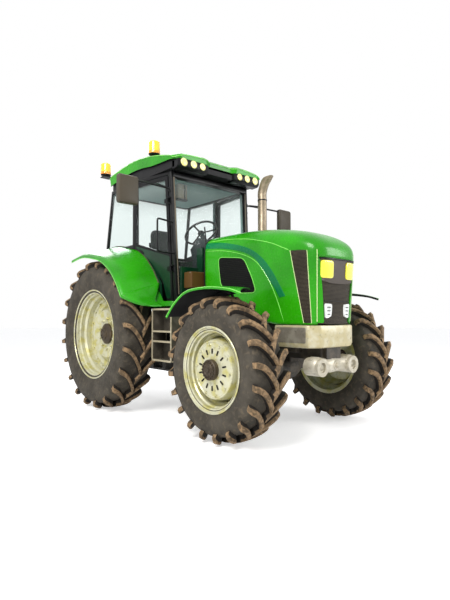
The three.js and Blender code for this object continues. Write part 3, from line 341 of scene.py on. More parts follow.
    def bolts(self, centres: Array, axis: Sequence[float], radius: float, height: float,
              finish: int = 0, sides: int = 6) -> "Shell":
        """Bolt heads: short prisms with a small chamfer, one at each centre, standing along an axis.

        Args:
            centres: where each head stands.
            axis: the direction.
            radius: a head's radius.
            height: a head's height.
            finish: index of the finish of these faces.
            sides: corners of a head.

        Returns:
            The shell itself.
        """
        along, ring = round_axis(axis, sides)
        steps = np.array([[1, -0.2], [1, 0.8], [0.82, 1], [0.001, 1]])
        rings = steps[:, 0, None, None] * radius * ring + steps[:, 1, None, None] * height * along
        copies = np.asarray(centres, float)[:, None, None] + rings[None]
        return self.grids(copies, wrap_v=True, finish=finish)


class Edge(Enum):
    """How the edges of a finished piece are treated."""

    SMOOTH = 60.0
    CRISP = 32.0


def smoothed(work: bmesh.types.BMesh, mesh: bpy.types.Mesh, finishes: Sequence["Finish"], edge: Edge) -> Object:
    """Writes a worked mesh back, shades it smooth and makes its object.

    Args:
        work: the worked mesh, which is freed.
        mesh: the mesh that takes it, and lends the object its name.
        finishes: its finishes, in order.
        edge: the angle past which an edge is sharp.

    Returns:
        The new object, linked to the scene.
    """
    work.to_mesh(mesh)
    work.free()
    for name in [a.name for a in mesh.attributes if a.name.startswith("custom_normal")]:
        mesh.attributes.remove(mesh.attributes[name])
    mesh.polygons.foreach_set("use_smooth", np.ones(len(mesh.polygons), bool))
    mesh.set_sharp_from_angle(angle=math.radians(edge.value))
    for finish in finishes:
        mesh.materials.append(finish.material())
    piece = bpy.data.objects.new(mesh.name, mesh)
    bpy.context.scene.collection.objects.link(piece)
    return piece


def mesh_object(name: str, shell: Shell, finishes: Sequence["Finish"], edge: Edge = Edge.CRISP) -> Object:
    """Makes a mesh object at the origin, with doubles merged and faces turned outwards.

    Args:
        name: the piece's name.
        shell: its points and faces.
        finishes: its finishes, in the order of the shell's finish numbers.
        edge: the angle past which an edge is sharp.

    Returns:
        The new object, linked to the scene.
    """
    mesh = bpy.data.meshes.new(name)
    quads = np.concatenate(shell.faces) if shell.faces else np.zeros((0, 4), int)
    mesh.from_pydata(np.concatenate(shell.points), [], quads.tolist() + shell.caps)
    numbers = np.concatenate([*shell.finishes, np.asarray(shell.cap_finishes, int)])
    mesh.polygons.foreach_set("material_index", numbers.astype(np.int32))
    work = bmesh.new()
    work.from_mesh(mesh)
    bmesh.ops.remove_doubles(work, verts=work.verts, dist=2e-5)
    bmesh.ops.dissolve_degenerate(work, edges=work.edges, dist=1e-6)
    bmesh.ops.recalc_face_normals(work, faces=work.faces)
    return smoothed(work, mesh, finishes, edge)


def with_wall(piece: Object, thickness: float, offset: float = -1.0) -> Object:
    """Gives an open sheet its wall, by a Solidify modifier that grows inwards by default.

    Args:
        piece: the piece.
        thickness: the wall's thickness.
        offset: -1 grows it inwards, 0 to both sides.

    Returns:
        The piece.
    """
    wall = piece.modifiers.new("wall", "SOLIDIFY")
    wall.thickness = thickness
    wall.offset = offset
    wall.use_even_offset = False
    return piece


def with_bevel(piece: Object, width: float, segments: int = 2) -> Object:
    """Rounds the edges that are sharper than 35 degrees.

    Args:
        piece: the piece.
        width: reach of the rounding.
        segments: faces across it.

    Returns:
        The piece.
    """
    bevel = piece.modifiers.new("edges", "BEVEL")
    bevel.width = width
    bevel.segments = segments
    bevel.limit_method = "ANGLE"
    bevel.angle_limit = math.radians(35)
    bevel.harden_normals = False
    return piece


def mounted(piece: Object, body: str, replaces: str = "") -> Object:
    """Makes a finished piece ride on its body, and hides the CAD node that it stands for.

    Args:
        piece: the finished piece.
        body: the CAD body that it moves with.
        replaces: the CAD node that it stands for, if any.

    Returns:
        The piece.
    """
    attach(piece, body)
    if replaces:
        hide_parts(replaces)
    LOG.info("%s rides on %s, %d faces", piece.name, body, len(piece.data.polygons))
    return piece


def fitted(name: str, shell: Shell, slot: str, *finishes: "Finish", body: str = "chassis",
           replaces: str = "", edge: Edge = Edge.CRISP) -> Object:
    """Makes a piece from a shell and mounts it.

    Args:
        name: the piece's name.
        shell: its points and faces.
        slot: not used.
        finishes: its finishes, in the order of the shell's finish numbers.
        body: the CAD body that it moves with.
        replaces: the CAD node that it stands for, if any.
        edge: the angle past which an edge is sharp.

    Returns:
        The piece.
    """
    return mounted(mesh_object(name, shell, finishes, edge), body, replaces)


def refined(node: str, finish: "Finish", width: float = 0.004, edge: Edge = Edge.CRISP) -> Object:
    """A copy of a CAD node with its flat faces joined and its edges rounded, in place of the node.

    Args:
        node: the CAD node.
        finish: its finish.
        width: reach of the rounding.
        edge: the angle past which an edge stays sharp.

    Returns:
        The new piece, which rides where the node does.
    """
    mesh = bpy.data.meshes.new(f"{node}_fine")
    work = bmesh.new()
    work.from_mesh(frame["nodes"][node].data)
    bmesh.ops.remove_doubles(work, verts=work.verts, dist=2e-5)
    bmesh.ops.dissolve_limit(work, angle_limit=math.radians(0.5), verts=work.verts, edges=work.edges)
    piece = smoothed(work, mesh, [finish], edge)
    mesh.polygons.foreach_set("material_index", np.zeros(len(mesh.polygons), np.int32))
    if width > 0:
        with_bevel(piece, width)
    body = frame["nodes"][node]["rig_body"]
    return mounted(piece, body, node)


# ---------------------------------------------------------------- finishes
class Nodes:
    """A shader node tree, begun empty."""

    def __init__(self, owner: bpy.types.Material | bpy.types.World) -> None:
        """Turns on the owner's nodes and clears them.

        Args:
            owner: the material or world.
        """
        owner.use_nodes = True
        self.tree = owner.node_tree
        self.tree.nodes.clear()

    def link(self, source: Socket, target: Socket) -> None:
        """Joins two sockets."""
        self.tree.links.new(source, target)

    def put(self, socket: Socket, value: object) -> None:
        """Sets a socket to a number or colour, or joins it to another socket.

        Args:
            socket: the input.
            value: the number, colour or socket.
        """
        if isinstance(value, Socket):
            self.link(value, socket)
        elif isinstance(value, tuple) and len(value) == 3 and socket.type == "RGBA":
            socket.default_value = (*value, 1)
        else:
            socket.default_value = value

    def node(self, kind: str, **values: object) -> bpy.types.ShaderNode:
        """Adds a node of a kind, with its sockets set by name, _ standing for a space.

        Args:
            kind: its type, without ShaderNode.
            values: the sockets by name.

        Returns:
            The node.
        """
        made = self.tree.nodes.new(f"ShaderNode{kind}")
        for name, value in values.items():
            self.put(made.inputs[name.replace("_", " ")], value)
        return made

    def math(self, operation: str, first: object, second: object = 0.0) -> Socket:
        """Arithmetic on one or two numbers.

        Args:
            operation: the Math node's operation.
            first: the first number.
            second: the second number.

        Returns:
            The result.
        """
        made = self.node("Math")
        made.operation = operation
        self.put(made.inputs[0], first)
        self.put(made.inputs[1], second)
        return made.outputs[0]

    def blend(self, share: object, first: bpy.types.ShaderNode, second: bpy.types.ShaderNode) -> Socket:
        """One shader mixed into another by a share.

        Args:
            share: how much of the second.
            first: what stands at 0.
            second: what stands at 1.

        Returns:
            The mixed shader.
        """
        made = self.node("MixShader")
        for socket, value in zip(made.inputs, (share, first.outputs[0], second.outputs[0])):
            self.put(socket, value)
        return made.outputs[0]


class Graph(Nodes):
    """One material's nodes round a Principled shader, on Object coordinates."""

    def __init__(self, name: str) -> None:
        """Starts the material with its shader and output.

        Args:
            name: the material's name.
        """
        self.made = bpy.data.materials.new(name)
        super().__init__(self.made)
        self.shader = self.node("BsdfPrincipled")
        self.output = self.node("OutputMaterial", Surface=self.shader.outputs["BSDF"])
        self.place = self.node("TexCoord").outputs["Object"]

    def noise(self, scale: float, detail: float = 3, stretch: Optional[tuple[float, float, float]] = None,
              distortion: float = 0) -> Socket:
        """Fractal noise from 0 to 1, of features about 1 / scale metres across.

        Args:
            scale: how fine it is.
            detail: how many finer layers it has.
            stretch: scales the coordinates along each axis first.
            distortion: how far it is warped.

        Returns:
            The noise's value.
        """
        place = self.place
        if stretch is not None:
            place = self.node("Mapping", Scale=stretch, Vector=place).outputs["Vector"]
        made = self.node("TexNoise", Scale=scale, Detail=detail, Distortion=distortion, Vector=place)
        return made.outputs["Fac"]

    def ramp(self, value: Socket, low: float, high: float) -> Socket:
        """A smooth step: 0 below low, 1 above high.

        Args:
            value: what is measured.
            low: the lower limit.
            high: the upper limit.

        Returns:
            The step.
        """
        made = self.node("MapRange", From_Min=low, From_Max=high, Value=value)
        made.interpolation_type = "SMOOTHSTEP"
        return made.outputs["Result"]

    def between(self, value: Socket, low: float, high: float) -> Socket:
        """A 0 to 1 value spread evenly from low to high."""
        return self.node("MapRange", To_Min=low, To_Max=high, Value=value).outputs["Result"]

    def mix(self, share: object, first: object, second: object) -> Socket:
        """A colour between two colours.

        Args:
            share: how much of the second.
            first: what stands at 0.
            second: what stands at 1.

        Returns:
            The colour.
        """
        made = self.node("Mix")
        made.data_type = "RGBA"
        for name, value in (("Factor_Float", share), ("A_Color", first), ("B_Color", second)):
            self.put(next(s for s in made.inputs if s.identifier == name), value)
        return next(s for s in made.outputs if s.identifier == "Result_Color")

    def height(self) -> Socket:
        """Height above the floor, in metres."""
        return self.node("SeparateXYZ", Vector=self.place).outputs["Z"]

    def bump(self, height: Socket, distance: float, strength: float = 1.0, under: Optional[Socket] = None) -> Socket:
        """A bumped normal, laid over another one if given.

        Args:
            height: the height.
            distance: what a height of 1 stands for.
            strength: how much of it shows.
            under: the normal below it.

        Returns:
            The normal.
        """
        made = self.node("Bump", Distance=distance, Strength=strength, Height=height)
        if under is not None:
            self.link(under, made.inputs["Normal"])
        return made.outputs["Normal"]

    def surface(self, **values: object) -> bpy.types.Material:
        """Sets the shader's sockets by name, with _ for a space, and returns the material.

        Args:
            values: the sockets by name.

        Returns:
            The material.
        """
        for name, value in values.items():
            self.put(self.shader.inputs[name.replace("_", " ")], value)
        return self.made


_made: dict[str, bpy.types.Material] = {}


@dataclass(frozen=True)
class Finish:
    """A finish with a name; each kind of finish makes its own material once."""

    name: str

    def make(self) -> bpy.types.Material:
        """Makes the material."""
        raise NotImplementedError

    def material(self) -> bpy.types.Material:
        """The material, made on first use.

        Returns:
            The material.
        """
        if self.name not in _made:
            _made[self.name] = self.make()
        return _made[self.name]


@dataclass(frozen=True)
class Enamel(Finish):
    """Gloss paint: broad drifts of shade, fine orange peel and field dust low down."""

    colour: Colour
    shade: Colour
    rough: float = 0.26
    coat: float = 0.7
    dust: Colour = (0.16, 0.13, 0.09)
    dust_top: float = 1.0

    def make(self) -> bpy.types.Material:
        """Paint whose dust fades out between the floor and `dust_top`.

        Returns:
            The material.
        """
        g = Graph(self.name)
        drift = g.ramp(g.noise(2.2, 2), 0.35, 0.7)
        painted = g.mix(drift, self.colour, self.shade)
        grime = g.ramp(g.noise(38, 6), 0.52, 0.75)
        low = g.ramp(g.height(), self.dust_top, self.dust_top - 0.7)
        dusty = g.mix(g.math("MULTIPLY", grime, g.between(low, 0.06, 0.6)), painted, self.dust)
        peel = g.bump(g.noise(420, 1), 0.0002, 0.25)
        rough = g.math("ADD", g.between(g.noise(9, 3), self.rough - 0.05, self.rough + 0.07),
                       g.math("MULTIPLY", grime, 0.12))
        return g.surface(Base_Color=dusty, Roughness=rough, Normal=peel, Coat_Weight=self.coat,
                         Coat_Roughness=0.08, Specular_IOR_Level=0.22)


@dataclass(frozen=True)
class Casting(Finish):
    """Painted cast metal: pebbled skin, darker stains and worn lighter patches."""

    colour: Colour
    worn: Colour
    metal: float = 0.35
    rough: float = 0.42
    grain: float = 160.0
    depth: float = 0.0012

    def make(self) -> bpy.types.Material:
        """Casting with a pebbled bump and patches of wear.

        Returns:
            The material.
        """
        g = Graph(self.name)
        patch = g.ramp(g.noise(11, 5), 0.42, 0.68)
        stain = g.ramp(g.noise(34, 6, distortion=0.4), 0.56, 0.8)
        skin = g.mix(patch, self.colour, self.worn)
        dark = tuple(c * 0.35 for c in self.colour)
        stained = g.mix(g.math("MULTIPLY", stain, 0.7), skin, dark)
        bump = g.bump(g.noise(self.grain, 3), self.depth, 0.5)
        return g.surface(Base_Color=stained, Metallic=self.metal, Normal=bump,
                         Roughness=g.between(g.noise(26, 4), self.rough - 0.08, self.rough + 0.14))


@dataclass(frozen=True)
class Rubber(Finish):
    """Tyre rubber: grey bloom, soil worked into it and a fine pitted skin."""

    colour: Colour
    soil: Colour
    amount: float = 0.5

    def make(self) -> bpy.types.Material:
        """Rubber with soil where a broad noise is high.

        Returns:
            The material.
        """
        g = Graph(self.name)
        bloom = g.mix(g.ramp(g.noise(7, 4), 0.35, 0.7), self.colour, tuple(c * 1.7 for c in self.colour))
        soil = g.ramp(g.noise(24, 7, distortion=0.6), 0.62 - 0.3 * self.amount, 0.9 - 0.3 * self.amount)
        body = g.mix(g.math("MULTIPLY", soil, 0.3 + 0.6 * self.amount), bloom, self.soil)
        bump = g.bump(g.noise(190, 4), 0.0014, 0.6)
        scuff = g.bump(g.noise(45, 5), 0.003, 0.35, under=bump)
        return g.surface(Base_Color=body, Roughness=g.between(g.noise(30, 3), 0.62, 0.9), Normal=scuff,
                         Specular_IOR_Level=0.3)


@dataclass(frozen=True)
class Moulding(Finish):
    """Moulded plastic or satin black metal with a leathery grain."""

    colour: Colour
    rough: float = 0.45
    grain: float = 700.0
    metal: float = 0.0

    def make(self) -> bpy.types.Material:
        """Plastic with a fine grain and a little dust in it.

        Returns:
            The material.
        """
        g = Graph(self.name)
        dust = g.ramp(g.noise(20, 6), 0.5, 0.85)
        body = g.mix(g.math("MULTIPLY", dust, 0.35), self.colour, tuple(0.8 * c + 0.012 for c in self.colour))
        bump = g.bump(g.noise(self.grain, 2), 0.0004, 0.5)
        return g.surface(Base_Color=body, Metallic=self.metal, Normal=bump, Specular_IOR_Level=0.2,
                         Roughness=g.between(g.noise(14, 3), self.rough - 0.08, self.rough + 0.12))


@dataclass(frozen=True)
class Mesh(Finish):
    """Grille mesh: rows of slots pressed in a sheet, drawn as bump and shade."""

    colour: Colour
    gap: Colour
    pitch: float = 0.012
    rows: tuple[float, float, float] = (0.0, 0.0, 1.0)
    metal: float = 0.3

    def make(self) -> bpy.types.Material:
        """Bars across the direction of `rows`, crossed by a finer weave.

        Returns:
            The material.
        """
        g = Graph(self.name)
        bars = self.wave(g, tuple(abs(c) for c in self.rows), 1)
        finer = self.wave(g, tuple(1.0 - abs(c) for c in self.rows), 0.5)
        lit = g.math("MULTIPLY", g.ramp(bars, 0.25, 0.6), g.ramp(finer, 0.12, 0.3))
        tone = g.mix(g.ramp(g.noise(5, 3), 0.3, 0.75), self.colour, tuple(c * 1.8 for c in self.colour))
        bump = g.bump(lit, 0.003, 0.8)
        return g.surface(Base_Color=g.mix(lit, self.gap, tone), Roughness=0.45, Normal=bump, Metallic=self.metal,
                         Specular_IOR_Level=0.15)

    def wave(self, g: Graph, direction: tuple[float, ...], share: float) -> Socket:
        """A sine across one direction, with one period for each pitch.

        Args:
            g: the material's graph.
            direction: the direction.
            share: its period, in pitches.

        Returns:
            The sine, from 0 to 1.
        """
        made = g.node("VectorMath")
        made.operation = "DOT_PRODUCT"
        g.link(g.place, made.inputs[0])
        made.inputs[1].default_value = direction
        turn = g.math("MULTIPLY", made.outputs["Value"], TAU / (self.pitch * share))
        return g.math("ADD", g.math("MULTIPLY", g.math("SINE", turn), 0.5), 0.5)


@dataclass(frozen=True)
class Lens(Finish):
    """A lamp's lens: coloured, ribbed, clear-coated and faintly lit from behind."""

    colour: Colour
    deep: Colour
    rib: float = 0.016
    glow: float = 0.25

    def make(self) -> bpy.types.Material:
        """A lens whose colour deepens towards broad drifts, with upright ribs.

        Returns:
            The material.
        """
        g = Graph(self.name)
        split = g.node("SeparateXYZ", Vector=g.place)
        run = g.math("ADD", split.outputs["X"], g.math("MULTIPLY", split.outputs["Y"], 0.6))
        ribs = g.math("SINE", g.math("MULTIPLY", run, TAU / self.rib))
        body = g.mix(g.ramp(g.noise(9, 2), 0.35, 0.75), self.colour, self.deep)
        return g.surface(Base_Color=body, Roughness=0.16, Coat_Weight=1.0, Coat_Roughness=0.03,
                         Normal=g.bump(ribs, 0.0012, 0.5), Emission_Color=self.colour, Emission_Strength=self.glow)


@dataclass(frozen=True)
class Glazing(Finish):
    """Clear cab glass with a deeper tint towards the roof and faint streaks of dust."""

    tint: Colour
    band: Colour
    band_low: float
    band_high: float

    def make(self) -> bpy.types.Material:
        """A clear sheet mixed with a tinted, mostly see-through one above the band's foot.

        Returns:
            The material.
        """
        g = Graph(self.name)
        height = g.ramp(g.height(), self.band_low, self.band_high)
        streak = g.math("MULTIPLY", g.ramp(g.noise(3, 4, stretch=(1, 1, 0.3)), 0.5, 0.8), 0.03)
        cover = g.math("ADD", g.between(height, 0.02, 0.22), streak)
        clear = g.node("BsdfTransparent", Color=self.tint)
        g.link(g.blend(cover, clear, g.shader), g.output.inputs["Surface"])
        return g.surface(Base_Color=g.mix(height, self.tint, self.band), Roughness=0.06, Specular_IOR_Level=0.5)


@dataclass(frozen=True)
class Cloth(Finish):
    """Woven seat cloth: crossed threads, flecks of a lighter yarn and a soft sheen."""

    colour: Colour
    fleck: Colour

    def make(self) -> bpy.types.Material:
        """A plain weave of 2 mm threads.

        Returns:
            The material.
        """
        g = Graph(self.name)
        weave = g.node("TexVoronoi", Scale=420, Vector=g.place)
        fleck = g.ramp(g.noise(300, 2), 0.6, 0.75)
        body = g.mix(fleck, self.colour, self.fleck)
        return g.surface(Base_Color=body, Roughness=0.85, Sheen_Weight=0.3,
                         Normal=g.bump(weave.outputs["Distance"], 0.001, 0.7))


class Look:
    """Every finish on the tractor."""

    GREEN = Enamel("green_enamel", (0.026, 0.36, 0.003), (0.016, 0.25, 0.002), coat=0.2)
    # Lighter lime paint on the crease beads, fender lips, vent rims and roof edge: a painted highlight along folds
    # and rolled edges.
    LIME = Enamel("lime_edge", (0.24, 0.80, 0.12), (0.16, 0.66, 0.07))
    # Pale yellow-green lines: a painted reflection along the side grille's edges and the corner post's rounded edge.
    PALE_LINE = Enamel("pale_line", (0.72, 0.86, 0.42), (0.60, 0.80, 0.34))
    TEAL = Enamel("teal_stripe", (0.0, 0.20, 0.060), (0.0, 0.15, 0.045), coat=0.1)
    DEEP_GREEN = Enamel("deep_green_enamel", (0.004, 0.048, 0.018), (0.002, 0.026, 0.010), rough=0.3, coat=0.4)
    SILVER = Casting("silver_casting", (0.50, 0.46, 0.36), (0.66, 0.62, 0.52))
    BUMPER = Casting("cream_bumper", (0.56, 0.49, 0.28), (0.66, 0.62, 0.46), metal=0.25, rough=0.34,
                     grain=60, depth=0.0004)
    DARK_CAST = Casting("dark_casting", (0.045, 0.040, 0.034), (0.10, 0.085, 0.065), metal=0.2, rough=0.55)
    RIM = Casting("rim_enamel", (0.60, 0.59, 0.43), (0.52, 0.48, 0.17), metal=0.35, rough=0.3, grain=80, depth=0.0003)
    # Near-black for the disc's slots: painted shade standing in for the dark inside of the holes.
    SLOT = Moulding("rim_slot", (0.012, 0.010, 0.008), rough=0.7)
    HUB = Casting("hub_iron", (0.050, 0.036, 0.022), (0.10, 0.07, 0.04), metal=0.4, rough=0.5)
    TAN = Casting("stack_tan", (0.25, 0.20, 0.135), (0.34, 0.27, 0.19), metal=0.5, rough=0.36,
                  grain=120, depth=0.0004)
    SIDEWALL = Rubber("tyre_sidewall", (0.046, 0.040, 0.031), (0.16, 0.125, 0.082), 0.42)
    # Near-black rubber on the lugs' flanks and ends, darker than the sidewall: painted shade in the gaps between the
    # lugs.
    TREAD = Rubber("tyre_tread", (0.013, 0.011, 0.009), (0.07, 0.048, 0.03), 0.3)
    LUG = Rubber("tyre_lug", (0.090, 0.062, 0.036), (0.36, 0.235, 0.125), 0.85)
    BLACK = Moulding("black_moulding", (0.010, 0.010, 0.011))
    SATIN = Moulding("black_satin", (0.008, 0.008, 0.009), rough=0.3, grain=300, metal=0.1)
    TRIM = Moulding("grey_trim", (0.25, 0.35, 0.35), rough=0.6)
    COLUMN = Moulding("column_grey", (0.022, 0.032, 0.034), rough=0.5)
    VISOR = Moulding("visor_tan", (0.17, 0.14, 0.10), rough=0.5)
    BROWN_TRIM = Moulding("brown_trim", (0.10, 0.085, 0.05), rough=0.5)
    MIRROR_CASE = Moulding("mirror_case", (0.070, 0.058, 0.042), rough=0.4)
    PLATE = Casting("tread_plate", (0.075, 0.066, 0.050), (0.12, 0.105, 0.080), metal=0.2, rough=0.5)
    # Darker grey-brown for the bumper's sides: painted shade on the faces turned from the light.
    SIDE_PLATE = Casting("bumper_grey", (0.25, 0.225, 0.185), (0.36, 0.33, 0.27), metal=0.4, rough=0.35,
                         grain=50, depth=0.0002)
    IRON = Casting("hitch_iron", (0.020, 0.019, 0.018), (0.050, 0.045, 0.038), metal=0.4, rough=0.5)
    BROWN = Moulding("brown_box", (0.105, 0.050, 0.014), rough=0.4)
    GRILLE = Mesh("grille_mesh", (0.085, 0.070, 0.050), (0.012, 0.010, 0.008))
    FACE = Moulding("lamp_panel_grey", (0.085, 0.070, 0.058), rough=0.35)
    VENT = Mesh("vent_mesh", (0.004, 0.004, 0.004), (0.001, 0.001, 0.001), pitch=0.02, metal=0.0)
    STEP = Casting("step_beige", (0.42, 0.37, 0.25), (0.52, 0.47, 0.34), metal=0.15, rough=0.45,
                   grain=60, depth=0.0003)
    HEADLAMP = Lens("headlamp_lens", (0.90, 0.84, 0.05), (0.82, 0.70, 0.03), glow=0.25)
    ROOF_LAMP = Lens("roof_lamp_lens", (0.93, 0.86, 0.36), (0.85, 0.70, 0.20), rib=0.02, glow=0.3)
    AMBER = Lens("amber_lens", (0.95, 0.66, 0.02), (0.90, 0.52, 0.01), rib=0.012, glow=0.2)
    DEEP_AMBER = Lens("deep_amber_lens", (0.90, 0.34, 0.01), (0.80, 0.24, 0.01), rib=0.012, glow=0.2)
    WHITE_LAMP = Lens("white_lens", (0.90, 0.92, 0.90), (0.75, 0.78, 0.76), glow=0.2)
    RED = Lens("red_lens", (0.55, 0.02, 0.01), (0.35, 0.01, 0.01), glow=0.1)
    GLASS = Glazing("cab_glass", (0.96, 0.985, 0.98), (0.16, 0.27, 0.27), 2.50, 2.95)
    MIRROR = Casting("mirror_glass", (0.75, 0.78, 0.80), (0.70, 0.74, 0.76), metal=1.0, rough=0.1, grain=20,
                     depth=0.0001)
    SEAT = Cloth("seat_cloth", (0.012, 0.013, 0.014), (0.05, 0.055, 0.06))


# ------------------------------------------------------------------- layout
@dataclass(frozen=True)
class Box:
    """A CAD node's box, in metres."""

    low: Array
    high: Array

    @classmethod
    def of(cls, node: str) -> "Box":
        """The box of a CAD node."""
        low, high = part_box(node)
        return cls(np.array(low), np.array(high))

    @property
    def mid(self) -> Array:
        """The box's centre."""
        return (self.low + self.high) / 2

    @property
    def size(self) -> Array:
        """The box's sides."""
        return self.high - self.low


class Layout:
    """Where the tractor's main lines run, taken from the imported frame."""

    axle_y = float(Box.of("front_rim_left").mid[1])
    rear_axle_y = float(Box.of("rear_rim_left").mid[1])

    @classmethod
    def at(cls, x: float, y: float, z: float) -> Array:
        """A point whose y is counted rearwards from the front axle."""
        return np.array([x, y + cls.axle_y, z])

    @classmethod
    def shifted(cls, points: Points) -> Array:
        """Points whose y is counted rearwards from the front axle, in the frame's axes."""
        return np.asarray(points, float) + np.array([0, cls.axle_y, 0])

    @classmethod
    def run(cls, points: Points, spacing: float) -> Array:
        """The same points shifted, with more between them at even steps no longer than `spacing`."""
        return cls.shifted(resampled(points, spacing))


def across(outline: Array, stations: Sequence[tuple[float, float]]) -> Array:
    """Rings of one outline carried across the tractor: middle + (point - middle) * scale at each x.

    Args:
        outline: (y, z) points, y from the front axle.
        stations: x and scale of each ring.

    Returns:
        The rings, in the frame's axes.
    """
    middle = outline.mean(0)
    rings = [np.stack([np.full(len(outline), x), *(middle + (outline - middle) * scale).T], 1)
             for x, scale in stations]
    return Layout.shifted(np.stack(rings))


# ------------------------------------------------------------------- wheels
@dataclass
class Wheel:
    """One driven wheel: a tyre with chevron lugs on a dished steel wheel.

    The tyre's radius and width come from the CAD tyre, the rest are fields in metres.
    """

    place: str
    side: Side
    lug_height: float
    bead: float
    rim_edge: float
    rim_half: float
    hub_out: float
    lugs: int = 20
    lug_width: float = 0.040
    chevron: float = 0.27
    sidewall_run: float = 0.42
    segments: int = 120

    def __post_init__(self) -> None:
        """Reads the tyre's centre, radius and half width from the frame."""
        box = Box.of(f"{self.place}_tyre_{self.side.label}")
        self.centre = box.mid
        self.radius = float(box.size[2] / 2)
        self.half = float(box.size[0] / 2)
        self.out = float(self.side.value)

    def carcass(self, count: int = 33) -> Array:
        """Half of the carcass's outline from the tread's centre to the bead, as (radius, along).

        Args:
            count: how many points.

        Returns:
            The outline.
        """
        crown = self.radius - self.lug_height
        tall = crown - self.bead
        half = self.half
        points = [(crown, 0), (crown - 0.004, 0.45 * half), (crown - 0.018, 0.76 * half),
                  (crown - 0.052, 0.89 * half), (crown - 0.38 * tall, 0.955 * half),
                  (crown - 0.62 * tall, 0.95 * half), (self.bead + 0.11 * tall, 0.84 * half),
                  (self.bead - 0.006, 0.80 * half)]
        return spline(points, count)

    def tyre_shell(self) -> Shell:
        """The carcass: its outline mirrored about the centre plane and turned about the axle.

        Returns:
            The carcass.
        """
        half = self.carcass()
        whole = np.vstack([half[::-1] * (1, -1), half[1:]])
        return Shell().lathe(whole, self.centre, segments=self.segments, wrap=True)

    def lug_rows(self) -> Array:
        """The points of one lug for the +X half of a tyre that rolls towards -Y.

        A station runs out along the carcass's outline; there the lug stands by its height along
        the outline's normal, held inside the tyre's radius and width. Its turn about the axle falls
        from `chevron` at the centre by a sine, so it leaves the centre at a slant and meets the
        shoulder square.

        Returns:
            (radius, along, turn) at each station and profile corner, of shape (18, 8, 3).
        """
        outline = self.carcass(200)
        ahead = unit(np.gradient(outline, axis=0))
        normal = np.stack([ahead[:, 1], -ahead[:, 0]], 1)
        start = -0.035
        stations = np.concatenate([np.linspace(start, 0.30, 9), np.linspace(0.34, self.sidewall_run, 7)])
        place = np.clip(np.abs(stations) * 199, 0, 199).astype(int)
        base = outline[place] * np.where(stations < 0, -1, 1)[:, None] ** np.array([0, 1])
        lean = normal[place]
        fade = np.interp(stations, [start, 0.0, 0.24, 0.36, self.sidewall_run], [0.96, 1, 1, 0.95, 0.15])
        across = base[:, 1] / self.half
        turn = self.chevron * (1 - np.sin(np.clip(across, -1, 1) * math.pi / 2))
        slant = np.cos(np.clip(across, 0, 1) * math.pi / 2)
        width = self.lug_width * (1 + 0.42 * slant) * np.interp(stations, [start, 0.05, 0.3], [1.25, 1, 1.05])
        side = np.array([-0.74, -0.60, -0.50, -0.40, 0.40, 0.50, 0.60, 0.74])
        high = np.array([-0.18, 0.62, 0.93, 1.0, 1.0, 0.93, 0.62, -0.18])
        rise = self.lug_height * high[None] * np.where(high[None] > 0, fade[:, None], 1)
        radius = base[:, :1] + lean[:, :1] * rise
        along = base[:, 1:] + lean[:, 1:] * rise
        limit = self.radius - 0.010 * np.clip(np.abs(across), 0, 1)[:, None] ** 2
        radius = np.minimum(radius, limit)
        along = np.minimum(along, self.half - 0.002)
        angle = turn[:, None] + width[:, None] * side[None] / self.radius
        return np.stack([radius, along, angle], -1)

    def lug_shell(self) -> Shell:
        """Both rows of lugs, staggered by half a pitch, turned evenly about the axle; their flanks and ends take the
        painted shade.

        Returns:
            The lugs.
        """
        rows = self.lug_rows()
        pitch = TAU / self.lugs
        shell = Shell()
        for half, start in ((1, 0.0), (-1, pitch / 2)):
            turn = start + np.arange(self.lugs)[:, None, None] * pitch + rows[None, :, :, 2]
            radius = np.broadcast_to(rows[None, :, :, 0], turn.shape)
            x = np.broadcast_to(half * rows[None, :, :, 1], turn.shape)
            points = np.stack([x, -radius * np.sin(turn), radius * np.cos(turn)], -1) + self.centre
            # Finish 1 on the lugs' flanks, undersides and ends is painted shade between the lugs; finish 0 is their
            # tops.
            flank_shade = np.array([1, 0, 0, 0, 0, 0, 1, 1])
            shell.grids(points, wrap_v=True, finish=flank_shade)
            shell.rings(points[:, 0], 1).rings(points[:, -1], 1)
        return shell

    def barrel_profile(self) -> Array:
        """The rim's outline, seen from outside: rolled edge, bead seat, step and well, as (radius, along).

        Returns:
            The outline.
        """
        edge, half, bead = self.rim_edge, self.rim_half, self.bead
        return np.array([
            (bead - 0.012, half - 0.045), (bead - 0.008, half - 0.012), (edge - 0.006, half - 0.004),
            (edge, half), (edge + 0.002, half + 0.006), (edge - 0.004, half + 0.010),
            (edge - 0.012, half + 0.008), (edge - 0.018, half - 0.004), (bead - 0.018, half - 0.020),
            (bead - 0.022, half - 0.052), (bead - 0.034, half - 0.064), (bead - 0.038, half - 0.110),
            (bead - 0.060, half - 0.135), (bead - 0.066, half - 0.200),
        ])

    def far_side(self, depth: float) -> list[tuple[float, float]]:
        """The barrel's inner half, from its well `depth` below the bead to the far edge and back.

        Args:
            depth: the well's depth below the bead.

        Returns:
            The points, as (radius, along).
        """
        edge, half, bead = self.rim_edge, self.rim_half, self.bead
        return [(bead - depth, -half + 0.13), (bead - 0.012, -half + 0.10), (bead - 0.010, -half + 0.01),
                (edge, -half), (edge + 0.004, -half + 0.008), (bead - 0.002, -half + 0.018),
                (bead - 0.003, half - 0.05)]

    def outward(self, profile: Array) -> Array:
        """The same profile with its along running out from the tractor's middle."""
        return profile * np.array([1, self.out])

